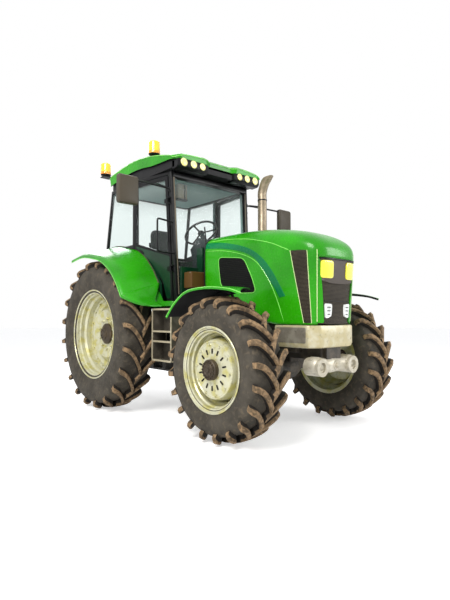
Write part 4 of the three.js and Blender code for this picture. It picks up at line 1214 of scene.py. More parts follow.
    def build(self) -> None:
        """Builds the tyre, the wheel and the hub, and makes them ride with the wheel's body."""
        body = f"{self.place}_wheel_{self.side.label}"
        name = f"{self.place}_{self.side.label}"
        fitted(f"tyre_{name}", self.tyre_shell(), "tyre_rubber", Look.SIDEWALL, body=body,
               replaces=f"{self.place}_tyre_{self.side.label}", edge=Edge.SMOOTH)
        fitted(f"tyre_lugs_{name}", self.lug_shell(), "tyre_rubber", Look.LUG, Look.TREAD, body=body)
        fitted(f"wheel_disc_{name}", self.rim_shell(), "rim_silver", Look.RIM, Look.HUB, Look.SLOT, body=body,
               replaces=f"{self.place}_rim_{self.side.label}")

    def rim_shell(self) -> Shell:
        """The dished wheel; each axle has its own."""
        raise NotImplementedError

    def ring_of(self, radius: float, count: int, along: float, start: float = 0.0) -> Array:
        """Points evenly round the axle at a radius, `along` out from the wheel's centre plane.

        Args:
            radius: the radius.
            count: how many points.
            along: distance out from that plane.
            start: the first turn.

        Returns:
            The points.
        """
        turn = start + np.arange(count) * TAU / count
        x = np.full(count, along * self.out)
        return np.stack([x, radius * np.sin(turn), radius * np.cos(turn)], 1) + self.centre


@dataclass
class FrontWheel(Wheel):
    """The smaller, steered wheel: its disc stands near the outer face and carries a reduction hub."""

    disc_face: float = 0.135
    disc_radius: float = 0.262
    hub_radius: float = 0.094
    slot_count: int = 14
    bolt_ring: float = 0.228

    def rim_shell(self) -> Shell:
        """Barrel, stepped dish, slotted disc and bolted hub, all turned about the axle.

        Returns:
            The wheel.
        """
        barrel = self.barrel_profile()
        foot = barrel[-1]
        disc = self.disc_face
        dish = np.array([
            (self.disc_radius + 0.030, foot[1] - 0.012), (self.disc_radius + 0.012, disc - 0.020),
            (self.disc_radius, disc), (self.disc_radius - 0.012, disc + 0.004),
            (self.bolt_ring + 0.016, disc - 0.002), (self.bolt_ring - 0.030, disc + 0.006),
            (self.hub_radius + 0.012, disc + 0.010), (self.hub_radius - 0.002, disc + 0.010),
        ])
        back = np.array([
            (self.hub_radius - 0.002, disc - 0.012), (self.disc_radius, disc - 0.030),
            (foot[0] + 0.004, foot[1] - 0.040), (self.bead - 0.052, 0.0),
            *self.far_side(0.052),
        ])
        shell = Shell()
        whole = self.outward(np.vstack([barrel, dish, back]))
        shell.lathe(whole, self.centre, segments=self.segments, wrap=True)
        self.hub(shell)
        shell.bolts(self.ring_of(self.bolt_ring, 10, disc, 0.2), (self.out, 0, 0), 0.011, 0.016)
        self.slots(shell)
        return shell

    def slots(self, shell: Shell) -> None:
        """Short radial slots round the hub: rounded near-black bars laid on the disc, painted shade where the slots'
        holes would be.

        Args:
            shell: what takes the faces.
        """
        outline = rounded_rect(0.0075, 0.024, 0.007, 3)
        turn = np.arange(self.slot_count) * TAU / self.slot_count
        middle = (self.hub_radius + self.bolt_ring) / 2 + 0.006
        y = outline[None, :, 0] * np.cos(turn)[:, None] + (middle + outline[None, :, 1]) * np.sin(turn)[:, None]
        z = -outline[None, :, 0] * np.sin(turn)[:, None] + (middle + outline[None, :, 1]) * np.cos(turn)[:, None]
        levels = np.array([0.0, 0.0125])[None, :, None] + self.disc_face
        x = np.broadcast_to(levels * self.out, (self.slot_count, 2, len(outline)))
        ring = np.stack([x, np.broadcast_to(y[:, None], x.shape), np.broadcast_to(z[:, None], x.shape)], -1)
        shell.grids(ring + self.centre, wrap_v=True, finish=2)
        shell.rings(ring[:, -1] + self.centre, 2)

    def hub(self, shell: Shell) -> None:
        """The planetary hub: a stepped dark drum with a ring of cap screws and a domed middle.

        Args:
            shell: what takes the faces.
        """
        face = self.hub_out
        r = self.hub_radius
        profile = np.array([
            (r - 0.004, self.disc_face - 0.02), (r, self.disc_face + 0.012), (r, face - 0.022),
            (r - 0.008, face - 0.014), (r - 0.034, face - 0.012), (r - 0.040, face - 0.004),
            (0.044, face - 0.002), (0.038, face - 0.008), (0.022, face - 0.008), (0.020, face), (0.001, face),
        ])
        shell.lathe(self.outward(profile), self.centre, segments=48, finish=1)
        shell.bolts(self.ring_of(r - 0.019, 16, face - 0.013), (self.out, 0, 0), 0.0085, 0.011, finish=1)
        shell.bolts(self.ring_of(0.050, 8, face - 0.004, 0.3), (self.out, 0, 0), 0.005, 0.006, finish=1)


@dataclass
class RearWheel(Wheel):
    """The larger wheel: a deep cone-shaped dish with its bolted centre far in."""

    disc_face: float = -0.02
    hub_radius: float = 0.13
    bolt_ring: float = 0.19
    lugs_on_rim: int = 8

    def rim_shell(self) -> Shell:
        """Barrel, concave dish, bolted centre and hub, all turned about the axle.

        Returns:
            The wheel.
        """
        barrel = self.barrel_profile()
        foot = barrel[-1]
        disc = self.disc_face
        dish = np.array([
            (foot[0] - 0.022, foot[1] - 0.010), (foot[0] - 0.045, foot[1] - 0.006),
            (foot[0] - 0.090, foot[1] - 0.030), (foot[0] - 0.155, disc + 0.022),
            (self.bolt_ring + 0.050, disc), (self.bolt_ring + 0.040, disc - 0.006),
            (self.hub_radius + 0.01, disc - 0.006), (self.hub_radius - 0.002, disc - 0.006),
        ])
        back = np.array([
            (self.hub_radius - 0.002, disc - 0.030), (self.bolt_ring + 0.06, disc - 0.026),
            (foot[0] - 0.10, foot[1] - 0.060), (foot[0] + 0.004, foot[1] - 0.040), (self.bead - 0.055, -0.02),
            *self.far_side(0.055),
        ])
        shell = Shell()
        whole = self.outward(np.vstack([barrel, dish, back]))
        shell.lathe(whole, self.centre, segments=self.segments, wrap=True)
        face = self.hub_out
        r = self.hub_radius
        hub = np.array([(r, disc - 0.02), (r, disc + 0.018), (r - 0.020, disc + 0.034), (0.080, face - 0.018),
                        (0.074, face - 0.004), (0.066, face), (0.001, face)])
        shell.lathe(self.outward(hub), self.centre, segments=48, finish=1)
        shell.bolts(self.ring_of(self.bolt_ring, 10, disc), (self.out, 0, 0), 0.016, 0.026)
        shell.bolts(self.ring_of(0.045, 6, face), (self.out, 0, 0), 0.008, 0.010, finish=1)
        self.rim_lugs(shell)
        return shell

    def rim_lugs(self, shell: Shell) -> None:
        """The bolted lugs that join the disc to the rim, round the dish's edge.

        Args:
            shell: what takes the faces.
        """
        radius = self.bead - 0.100
        shell.bolts(self.ring_of(radius, 2 * self.lugs_on_rim, self.rim_half - 0.206, 0.1),
                    (self.out, 0, 0), 0.012, 0.018)


# --------------------------------------------------------------------- hood
@dataclass
class Hood:
    """The tilting hood: one domed skin with a rounded nose, its grille, lamps, stripe and vents.

    The skin runs round the nose in plan. Up to the shoulder it is upright, and above it each point
    moves in towards a ridge along the middle by a superellipse. Sizes are in metres.
    """

    low: float = 1.071
    top: float = 2.072
    rear: float = 0.905
    foot: float = 1.71
    shoulder: float = 1.83
    square: float = 3.1
    mouth_half: float = 0.280
    mouth_low: float = 1.090
    brow: float = 1.682
    wall: float = 0.012
    plan: tuple[tuple[float, float], ...] = (
        (0.0, -0.684), (0.140, -0.681), (0.222, -0.668), (0.280, -0.640), (0.318, -0.590),
        (0.342, -0.500), (0.356, -0.360), (0.361, -0.150), (0.361, 0.150), (0.361, 0.520), (0.361, 0.905),
    )

    def __post_init__(self) -> None:
        """Samples the plan outline finely, with its length from the nose's middle."""
        fine = spline(self.plan, 400)
        step = np.linalg.norm(np.diff(fine, axis=0), axis=1)
        self.reach = np.concatenate([[0], np.cumsum(step)])
        self.fine = fine

    def top_at(self, y: Array) -> Array:
        """Height of the ridge: level at the rear, falling by a power of the way to the nose."""
        share = np.clip((0.40 - y) / 1.086, 0, None)
        return self.top - 0.165 * share**1.8

    def nose_share(self, y: Array) -> Array:
        """How far a depth is into the nose, from 0 to 1."""
        return np.clip((0.05 - y) / 0.65, 0, 1)

    def shoulder_at(self, y: Array) -> Array:
        """Height of the shoulder, which drops by a square towards the nose."""
        return self.shoulder - (self.shoulder - self.foot) * self.nose_share(y) ** 2

    def low_at(self, y: Array) -> Array:
        """Height of the lower edge: level under the nose, then rising to the rear."""
        return self.low + 0.139 * np.clip((y + 0.19) / 1.095, 0, 1)

    def skin(self, w: Array, v: Array, out: float | Array = 0.0) -> Array:
        """A point on the skin.

        Args:
            w: way round the plan from the nose's middle, in metres; negative on the right.
            v: height where it is below the shoulder, and above it 1 more than the shoulder per
                quarter turn over to the ridge.
            out: distance outside the skin.

        Returns:
            Points in the frame's axes, of the broadcast shape of w and v with 3 added.
        """
        w, v = np.broadcast_arrays(np.asarray(w, float), np.asarray(v, float))
        side = np.where(w < 0, -1.0, 1.0)
        run = np.abs(w)
        x = np.interp(run, self.reach, self.fine[:, 0])
        y = np.interp(run, self.reach, self.fine[:, 1])
        eps = 0.004
        dx = np.interp(run + eps, self.reach, self.fine[:, 0]) - x
        dy = np.interp(run + eps, self.reach, self.fine[:, 1]) - y
        length = np.maximum(np.hypot(dx, dy), 1e-6)
        nx, ny = dy / length, -dx / length
        nose = self.nose_share(y)
        shoulder = self.shoulder_at(y)
        height = np.minimum(v, shoulder)
        over = np.clip(v - shoulder, 0, 1) * math.pi / 2
        narrow = 1 - 0.060 * np.clip((1.64 - height) / 0.57, 0, 1)
        lean = 0.035 * np.clip((self.foot - height) / 0.63, 0, 1) * nose
        line = np.linspace(self.fine[:, 1].min(), self.fine[:, 1].max(), 200)
        crest = line * 0.8 + self.nose_share(line)**1.5 * (0.10 - line) * 0.62
        ridge = y * 0.2 + np.interp(y, line, np.maximum.accumulate(crest))
        c = np.cos(over) ** (2 / self.square)
        s = np.sin(over) ** (2 / self.square)
        px = x * narrow * c
        py = y + lean + (ridge - y) * (1 - c)
        pz = height + (self.top_at(py) - shoulder) * s
        flat = np.cos(over) ** 2
        px = px + nx * out * flat
        py = py + ny * out * flat
        pz = pz + out * (1 - flat)
        return np.stack([side * px, py + Layout.axle_y, pz], -1)

    def way_at(self, y: Array) -> Array:
        """Way round the plan at a depth y along the side."""
        return np.interp(y, self.fine[:, 1], self.reach)

    def turn_at(self, y: Array, z: Array) -> Array:
        """The skin's v for a height z at a depth y along the side: past the shoulder it inverts
        the superellipse, v = shoulder + asin(share ** (square / 2)) over a quarter turn.

        Args:
            y: depth, from the front axle.
            z: height.

        Returns:
            The value of v.
        """
        shoulder = self.shoulder_at(y)
        share = np.clip((z - shoulder) / (self.top_at(y) - shoulder), 0, 1)
        return np.minimum(z, shoulder) + np.arcsin(share ** (self.square / 2)) * 2 / math.pi

    def on_side(self, points: Array, side: Side, out: float) -> Array:
        """Points drawn as (y, z) on a side of the hood, laid on the skin."""
        points = np.asarray(points, float)
        return self.skin(side.value * self.way_at(points[..., 0]), self.turn_at(points[..., 0], points[..., 1]), out)

    def ways(self) -> Array:
        """Ways round half of the plan, closer together round the nose's corner.

        Returns:
            The ways, from the middle to the rear.
        """
        corner = float(self.way_at(np.array(-0.36)))
        return np.concatenate([
            np.linspace(0, self.mouth_half, 12)[:-1], np.linspace(self.mouth_half, corner, 22)[:-1],
            np.linspace(corner, self.reach[-1], 30)])

    def shell(self) -> Shell:
        """The painted skin: the dome from the brow or the shoulder to the ridge, and the two side
        walls below it, whose grids meet on shared points.

        Returns:
            The skin.
        """
        half = self.ways()
        around = np.concatenate([-half[:0:-1], half])
        y = np.interp(np.abs(around), self.reach, self.fine[:, 1])
        over_mouth = np.abs(around) <= self.mouth_half + 1e-6
        shoulder = self.shoulder_at(y)
        rise = np.where(over_mouth, self.turn_at(y, np.full(y.shape, self.brow)), shoulder)
        over = np.linspace(0, 1, 24) ** 1.15
        shell = Shell()
        shell.grid(self.skin(around[:, None], rise[:, None] + (shoulder + 1 - rise)[:, None] * over))
        ways = half[half >= self.mouth_half - 1e-6]
        y = np.interp(ways, self.reach, self.fine[:, 1])
        low, top = self.low_at(y), self.shoulder_at(y)
        heights = low[:, None] + (top - low)[:, None] * np.linspace(0, 1, 30)
        for side in Side:
            shell.grid(self.skin(side.value * ways[:, None], heights))
        return shell

    def patch(self, edge: Array, place: Callable[[Array, float], Array], out: float, rings: int = 14,
              thick: float = 0.004) -> Shell:
        """A flush panel: rings that shrink from its outline to its middle, with a small turned-in edge.

        Args:
            edge: closed outline, as the pairs that `place` reads.
            place: lays pairs on the skin at a distance outside it.
            out: how proud the panel stands.
            rings: how many rings fill it.
            thick: how far its edge is turned in.

        Returns:
            The panel's shell.
        """
        edge = resampled(np.vstack([edge, edge[:1]]), 0.022)[:-1]
        middle = edge.mean(0)
        share = np.concatenate([[1.0, 1.0], np.linspace(0.985, 0.0, rings)])
        lift = np.concatenate([[out - thick, out * 0.6], np.full(rings, out)])
        loops = np.stack([place(middle + (edge - middle) * s, o) for s, o in zip(share, lift)])
        return Shell().grid(loops, wrap_v=True)

    def band(self, upper: Points, lower: Points, side: Side, out: float, count: int = 60) -> Shell:
        """A stripe on a side between two curves drawn as (y, z), with turned-in edges.

        Args:
            upper: the upper curve.
            lower: the lower curve.
            side: which side.
            out: how proud it stands.
            count: points along it.

        Returns:
            The stripe's shell.
        """
        top, foot = spline(upper, count), spline(lower, count)
        share = np.array([0, 0, 0.03, 0.25, 0.5, 0.75, 0.97, 1, 1])[None, :, None]
        lift = np.array([-0.003, out * 0.5, out, out, out, out, out, out * 0.5, -0.003])
        across = top[:, None] + (foot - top)[:, None] * share
        return Shell().grid(self.on_side(across, side, np.broadcast_to(lift, (count, 9))))

    def bead(self, line: Points, side: Side, radius: float, count: int = 70) -> Shell:
        """A rolled crease: a half-round bead along a curve drawn as (y, z) on a side.

        Args:
            line: the curve.
            side: which side.
            radius: the bead's radius.
            count: points along it.

        Returns:
            The bead's shell.
        """
        path = self.on_side(spline(line, count), side, 0.0)
        taper = np.minimum(1, np.minimum(np.arange(count), np.arange(count)[::-1]) / 6 + 0.15)
        return Shell().sweep(path, circle(radius, 8), (side.value, 0, 0.3), scale=taper)

    def piece(self, name: str, shell: Shell, finish: Finish, slot: str, replaces: str = "",
              edge: Edge = Edge.CRISP) -> Object:
        """Makes one piece of the hood, which rides on the hood's body."""
        return fitted(name, shell, slot, finish, body="hood", replaces=replaces, edge=edge)

    def build(self) -> None:
        """Builds the skin, then its stripes and vents, then the face."""
        skin = mesh_object("hood_skin", self.shell(), [Look.GREEN], Edge.SMOOTH)
        with_wall(skin, self.wall)
        mounted(skin, "hood", "hood_shell")
        for side in Side:
            self.dress_side(side)
        self.rear_trim()
        self.arms()
        self.face()

    def dress_side(self, side: Side) -> None:
        """Stripe, creases drawn as beads of painted highlight, side grille and vent of one side, the vent ringed by a
        painted highlight.

        Args:
            side: which side.
        """
        stripe = self.band([(0.900, 1.984), (0.62, 1.958), (0.336, 1.898), (0.14, 1.83), (-0.02, 1.725),
                            (-0.14, 1.60), (-0.24, 1.455), (-0.315, 1.341)],
                           [(0.900, 1.918), (0.60, 1.888), (0.30, 1.828), (0.10, 1.74), (-0.03, 1.60),
                            (-0.11, 1.50), (-0.18, 1.415), (-0.235, 1.330)], side, 0.0022)
        self.piece(f"hood_stripe_{side.label}", stripe, Look.TEAL, "paint_dark_green")
        # The crease beads are lighter paint: a painted highlight along each fold.
        cap = self.bead([(0.900, 1.996), (0.55, 1.985), (0.20, 1.945), (-0.10, 1.875), (-0.28, 1.805),
                         (-0.365, 1.768)], side, 0.0048)
        self.piece(f"hood_cap_crease_{side.label}", cap, Look.LIME, "paint_green")
        lower = self.bead([(0.900, 1.888), (0.58, 1.862), (0.28, 1.795), (0.08, 1.705), (-0.05, 1.575),
                           (-0.14, 1.44), (-0.22, 1.28), (-0.29, 1.10)], side, 0.0042)
        self.piece(f"hood_side_crease_{side.label}", lower, Look.LIME, "paint_green")
        vent = rounded_polygon([(0.66, 1.800), (0.62, 1.47), (0.36, 1.39), (0.075, 1.385), (0.14, 1.56),
                                (0.25, 1.755)], 0.07, 6)
        hole = self.patch(vent, lambda p, o: self.on_side(p, side, o), 0.0015)
        self.piece(f"hood_vent_{side.label}", hole, Look.VENT, "grille_brown")
        # The ring round the vent is lighter paint: a painted highlight on its edge.
        rim = self.on_side(vent, side, 0.001)
        edge = Shell().sweep(rim, circle(0.0045, 8), (side.value, 0, 0.2), closed=True)
        self.piece(f"hood_vent_rim_{side.label}", edge, Look.LIME, "paint_green")
        self.side_grille(side)

    def side_grille(self, side: Side) -> None:
        """The tapering mesh beside the corner post, framed by pale lines of painted highlight, with a painted
        reflection line down the post.

        Args:
            side: which side.
        """
        quad = self.corner_quad()
        place = self.round_nose(side)
        grille = self.patch(rounded_polygon(quad, 0.012, 4), place, 0.0015)
        self.piece(f"side_grille_{side.label}", grille, Look.GRILLE, "grille_brown")
        # Pale lines along the grille's rear and front edges: a painted highlight.
        for name, ends in (("rear", (quad[0], quad[3])), ("front", (quad[1], quad[2]))):
            line = place(resampled(ends, 0.03), 0.0015)
            edge = Shell().sweep(line, circle(0.0038, 8), (side.value, -0.6, 0))
            self.piece(f"side_grille_line_{name}_{side.label}", edge, Look.PALE_LINE, "paint_green")
        # A pale line down the corner post: a painted reflection along its rounded edge.
        post = place(resampled(np.array([(0.300, 1.772), (0.286, 1.10)]), 0.03), 0.001)
        self.piece(f"corner_line_{side.label}", Shell().sweep(post, circle(0.0042, 8), (side.value, -0.6, 0)),
                   Look.PALE_LINE, "paint_green")

    def corner_quad(self) -> list[tuple[float, float]]:
        """The side grille's corners as (way round the nose, height), from its top rear one."""
        return [(0.575, 1.768), (0.392, 1.752), (0.336, 1.086), (0.415, 1.086)]

    def round_nose(self, side: Side) -> Callable[[Array, float], Array]:
        """Lays pairs (way round the nose, height) on the skin of one side."""
        return lambda p, o: self.skin(side.value * np.asarray(p)[..., 0], np.asarray(p)[..., 1], o)

    def across_nose(self, p: Array, out: float) -> Array:
        """Lays pairs (x, height) on the nose's middle."""
        p = np.asarray(p, float)
        return self.skin(p[..., 0], p[..., 1], out)

    def face(self) -> None:
        """The dark face between the posts: mesh, lamp panel, headlamps and work lamps."""
        half = self.mouth_half + 0.006
        x = np.linspace(-half, half, 33)
        z = np.linspace(self.mouth_low - 0.015, self.brow + 0.006, 30)
        sheet = Shell().grid(self.across_nose(np.stack(np.meshgrid(x, z, indexing="ij"), -1), -0.014))
        back = mesh_object("front_grille_sheet", sheet, [Look.GRILLE], Edge.SMOOTH)
        with_wall(back, 0.010)
        mounted(back, "hood", "front_grille")
        for side in Side:
            s = side.value
            cheek = rounded_polygon([(s * 0.286, 1.682), (s * 0.286, 1.088), (s * 0.208, 1.088),
                                     (s * 0.238, 1.40), (s * 0.270, 1.682)], 0.008, 3)
            self.piece(f"grille_cheek_{side.label}", self.patch(cheek, self.across_nose, -0.002, 6, 0.012),
                       Look.GREEN, "paint_green")
            lamp = rounded_rect(0.080, 0.081, 0.026, 6) + np.array([s * 0.182, 1.580])
            bowl = self.patch(lamp, self.across_nose, 0.004, 6, 0.016)
            self.piece(f"headlamp_lens_{side.label}", bowl, Look.HEADLAMP, "lamp_yellow",
                       f"headlamp_{side.label}", Edge.SMOOTH)
            small = rounded_polygon([(s * 0.204, 1.268), (s * 0.100, 1.262), (s * 0.108, 1.148), (s * 0.192, 1.128)],
                                    0.018, 5)
            self.piece(f"work_lamp_{side.label}", self.patch(small, self.across_nose, -0.002, 5, 0.012),
                       Look.WHITE_LAMP, "lamp_yellow", edge=Edge.SMOOTH)
            self.lamp_slots(side)
        plate = rounded_polygon([(-0.272, 1.679), (-0.256, 1.476), (-0.120, 1.452), (0.120, 1.452),
                                 (0.256, 1.476), (0.272, 1.679)], 0.030, 6)
        self.piece("lamp_panel", self.patch(plate, self.across_nose, -0.006, 6, 0.010), Look.FACE, "grille_brown")
        seam = self.across_nose(np.stack([np.linspace(-0.20, 0.20, 20), np.full(20, 1.290)], 1), -0.011)
        self.piece("grille_seam", Shell().sweep(seam, rounded_rect(0.003, 0.005, 0.002, 3), (0, -1, 0)),
                   Look.SATIN, "black_plastic")
        lip = self.across_nose(np.stack([np.linspace(-0.280, 0.280, 30), np.full(30, 1.680)], 1), 0.0)
        self.piece("brow_seam", Shell().sweep(lip, rounded_rect(0.005, 0.006, 0.002, 3), (0, -1, 0)),
                   Look.SATIN, "black_plastic")

    def lamp_slots(self, side: Side) -> None:
        """Three dark slots across each work lamp.

        Args:
            side: which side.
        """
        shell = Shell()
        for height, half in ((1.232, 0.022), (1.200, 0.018), (1.165, 0.014)):
            x = side.value * 0.150 + np.linspace(-half, half, 8)
            line = self.across_nose(np.stack([x, np.full(8, height)], 1), -0.001)
            shell.sweep(line, rounded_rect(0.004, 0.006, 0.003, 3), (0, -1, 0))
        self.piece(f"work_lamp_slots_{side.label}", shell, Look.SATIN, "black_plastic")

    def rear_trim(self) -> None:
        """The black seal along the hood's rear edge."""
        v = np.concatenate([np.linspace(1.225, self.shoulder, 20)[:-1], self.shoulder + np.linspace(0, 1, 20)])
        w = self.reach[-1] - 0.008
        left = self.skin(np.full(v.shape, w), v, -0.002)
        right = self.skin(np.full(v.shape, -w), v, -0.002)
        path = np.vstack([left, right[-2::-1]])
        seal = Shell().sweep(path, rounded_rect(0.006, 0.010, 0.003, 3), (0, 1, 0))
        self.piece("hood_rear_seal", seal, Look.BLACK, "black_plastic")

    def arms(self) -> None:
        """The two hinge arms under the hood's rear edge, each an eye on a tapering plate."""
        hinge = Layout.at(0, self.rear + 0.053, self.top - 0.066)
        shell = Shell()
        for s in (-1, 1):
            line = np.array([(s * 0.14, hinge[1], hinge[2]), (s * 0.14, hinge[1] - 0.07, hinge[2] + 0.022),
                             (s * 0.14, hinge[1] - 0.16, hinge[2] + 0.030)])
            shell.sweep(line, rounded_rect(0.012, 0.020, 0.004, 3), scale=np.array([0.9, 1, 1.2]))
            ring = [(0.0145, -0.012), (0.0145, 0.012), (0.026, 0.012), (0.026, -0.012)]
            shell.lathe(ring, (s * 0.14, hinge[1], hinge[2]), segments=24, wrap=True)
        self.piece("hood_hinge_arms", shell, Look.DARK_CAST, "cast_dark")
# ------------------------------------------------------------------ fenders
def arch_over(radius: float, axle_y: float, points: Sequence[tuple[float, float]], count: int) -> Array:
    """A smooth arch over a wheel, through points given as an angle and a gap.

    Args:
        radius: the tyre's radius.
        axle_y: depth of the axle, from the front one.
        points: angles in degrees, from 0 at the rear through 90 at the top, and gaps outside the tread.
        count: how many points to return.

    Returns:
        Points (y, z): axle + (radius + gap) * (cos, sin) of the angle, joined by a spline.
    """
    turn = np.radians([p[0] for p in points])
    reach = radius + np.array([p[1] for p in points])
    knots = np.stack([axle_y + reach * np.cos(turn), radius + reach * np.sin(turn)], 1)
    line = spline(knots, 400)
    return resampled(line, np.linalg.norm(np.diff(line, axis=0), axis=1).sum() / count)


def sheet_over(line: Array, section: Array, side: Side, lift: Array, start: float | Array = 0.0) -> Array:
    """Carries a closed section along an arch.

    Args:
        line: the arch, as (y, z) points.
        section: outline as (x, out) points, where out is the distance outside the arch.
        side: which side it is on.
        lift: what is added to z at each point of the section.
        start: the share of the arch at which each point of the section starts, which slants its front end.

    Returns:
        Points of shape (arch, section, 3).
    """
    ahead = unit(np.gradient(line, axis=0))
    normal = np.stack([-ahead[:, 1], ahead[:, 0]], 1)
    normal *= np.sign(normal[len(normal) // 2, 1])
    known = np.linspace(0, 1, len(line))
    share = start + (1 - np.broadcast_to(start, lift.shape)) * known[:, None]
    at = [np.interp(share, known, values) for values in (*line.T, *normal.T)]
    y = at[0] + at[2] * section[None, :, 1]
    z = at[1] + at[3] * section[None, :, 1] + lift[None]
    x = np.broadcast_to(side.value * section[None, :, 0], y.shape)
    return Layout.shifted(np.stack([x, y, z], -1))


@dataclass
class FrontFender:
    """A thin arched blade over a front tyre: green above, black below, on a bent stay.

    `tyre` is the tyre's radius and `stay_y` the stay's depth from the axle.
    """

    side: Side
    tyre: float = 0.668
    inner: float = 0.661
    outer: float = 1.072
    thick: float = 0.011
    stay_y: float = 0.118
    arch: tuple[tuple[float, float], ...] = (
        (123.5, 0.157), (111.6, 0.118), (90, 0.088), (67.7, 0.120), (51.2, 0.129), (37, 0.134))

    def build(self) -> None:
        """The blade, its rolled outer lip with a bead of painted highlight, a black sheet of painted shade between
        the blade and the tyre, and its stay.
        """
        name, s = self.side.label, self.side.value
        line = arch_over(self.tyre, 0.0, self.arch, 70)
        x = np.concatenate([np.linspace(self.inner, self.outer - 0.008, 12), [self.outer]])
        crown = -0.010 * (2 * (x - self.inner) / (self.outer - self.inner) - 1) ** 4
        upper = np.stack([x, crown], 1)
        under = np.stack([x[::-1], crown[::-1] - self.thick], 1)
        section = np.vstack([upper, [(self.outer, crown[-1] - 0.022), (self.outer - 0.006, crown[-1] - 0.022)],
                             under[1:]])
        finish = np.where(np.arange(len(section)) < len(upper) + 1, 0, 1)
        slant = 0.26 * (np.clip((self.outer - section[:, 0]) / (self.outer - self.inner), 0, 1)) ** 0.8
        grid = sheet_over(line, section, self.side, np.zeros(len(section)), slant)
        shell = Shell().grid(grid, wrap_v=True, finish=finish).disc(grid[0], 1).disc(grid[-1], 1)
        blade = mesh_object(f"front_fender_blade_{name}", shell, [Look.GREEN, Look.BLACK], Edge.CRISP)
        body = f"steered_end_{name}"
        mounted(with_bevel(blade, 0.002), body, f"front_fender_{name}")
        # The lip bead is lighter paint: a painted highlight along the rolled edge.
        lip = sheet_over(line, np.array([(self.outer - 0.002, -0.012)]), self.side, np.zeros(1))[:, 0]
        fitted(f"front_fender_lip_{name}", Shell().sweep(lip, circle(0.0042, 8), (s, 0, 0.1)), "paint_green",
               Look.LIME, body=body, edge=Edge.SMOOTH)
        # A black sheet from the blade's inner edge down to just above the tyre: painted shade in the gap under the
        # fender.
        line = line[20:-2]
        hub = np.array([0, self.tyre])
        turn = np.linalg.norm(line - hub, axis=1)
        room = (1 - 0.690 / turn) * np.sin(np.linspace(0, math.pi, len(line))) ** 0.35
        skirt = np.stack([line, line + (hub - line) * room[:, None]])
        plates = [np.concatenate([np.full((2, len(line), 1), s * x), skirt], 2) for x in (0.660, 0.665)]
        wall = Layout.shifted(np.stack(plates))
        gap_shade_sheet = Shell().grid(np.stack([wall[0, 0], wall[0, 1], wall[1, 1], wall[1, 0]]), wrap_u=True)
        gap_shade_sheet.disc(wall[:, :, 0].reshape(4, 3)[[0, 1, 3, 2]]).disc(wall[:, :, -1].reshape(4, 3)[[0, 1, 3, 2]])
        fitted(f"front_fender_apron_{name}", gap_shade_sheet, "black_plastic", Look.BLACK, body=body)
        stay = Shell()
        post = [(0.622, 0.874), (0.626, 1.05), (0.628, 1.25), (0.640, 1.345), (0.700, 1.385), (0.84, 1.395)]
        path = Layout.shifted(spline([(s * x, self.stay_y, z) for x, z in post], 40))
        stay.sweep(path, circle(0.0150, 14), (0, 1, 0))
        for y in (self.stay_y - 0.05, self.stay_y + 0.05):
            rib = [(s * 0.70, y, 1.404), (s * 1.0, y, 1.404)]
            stay.sweep(Layout.run(rib, 0.05), rounded_rect(0.010, 0.004, 0.002, 3), (0, 1, 0))
        stay.block((s * 0.70, 0.06, 1.398), (s * 0.76, 0.176, 1.409), 0.004)
        fitted(f"front_fender_stay_{name}", stay, "black_metal", Look.BLACK, body=body)


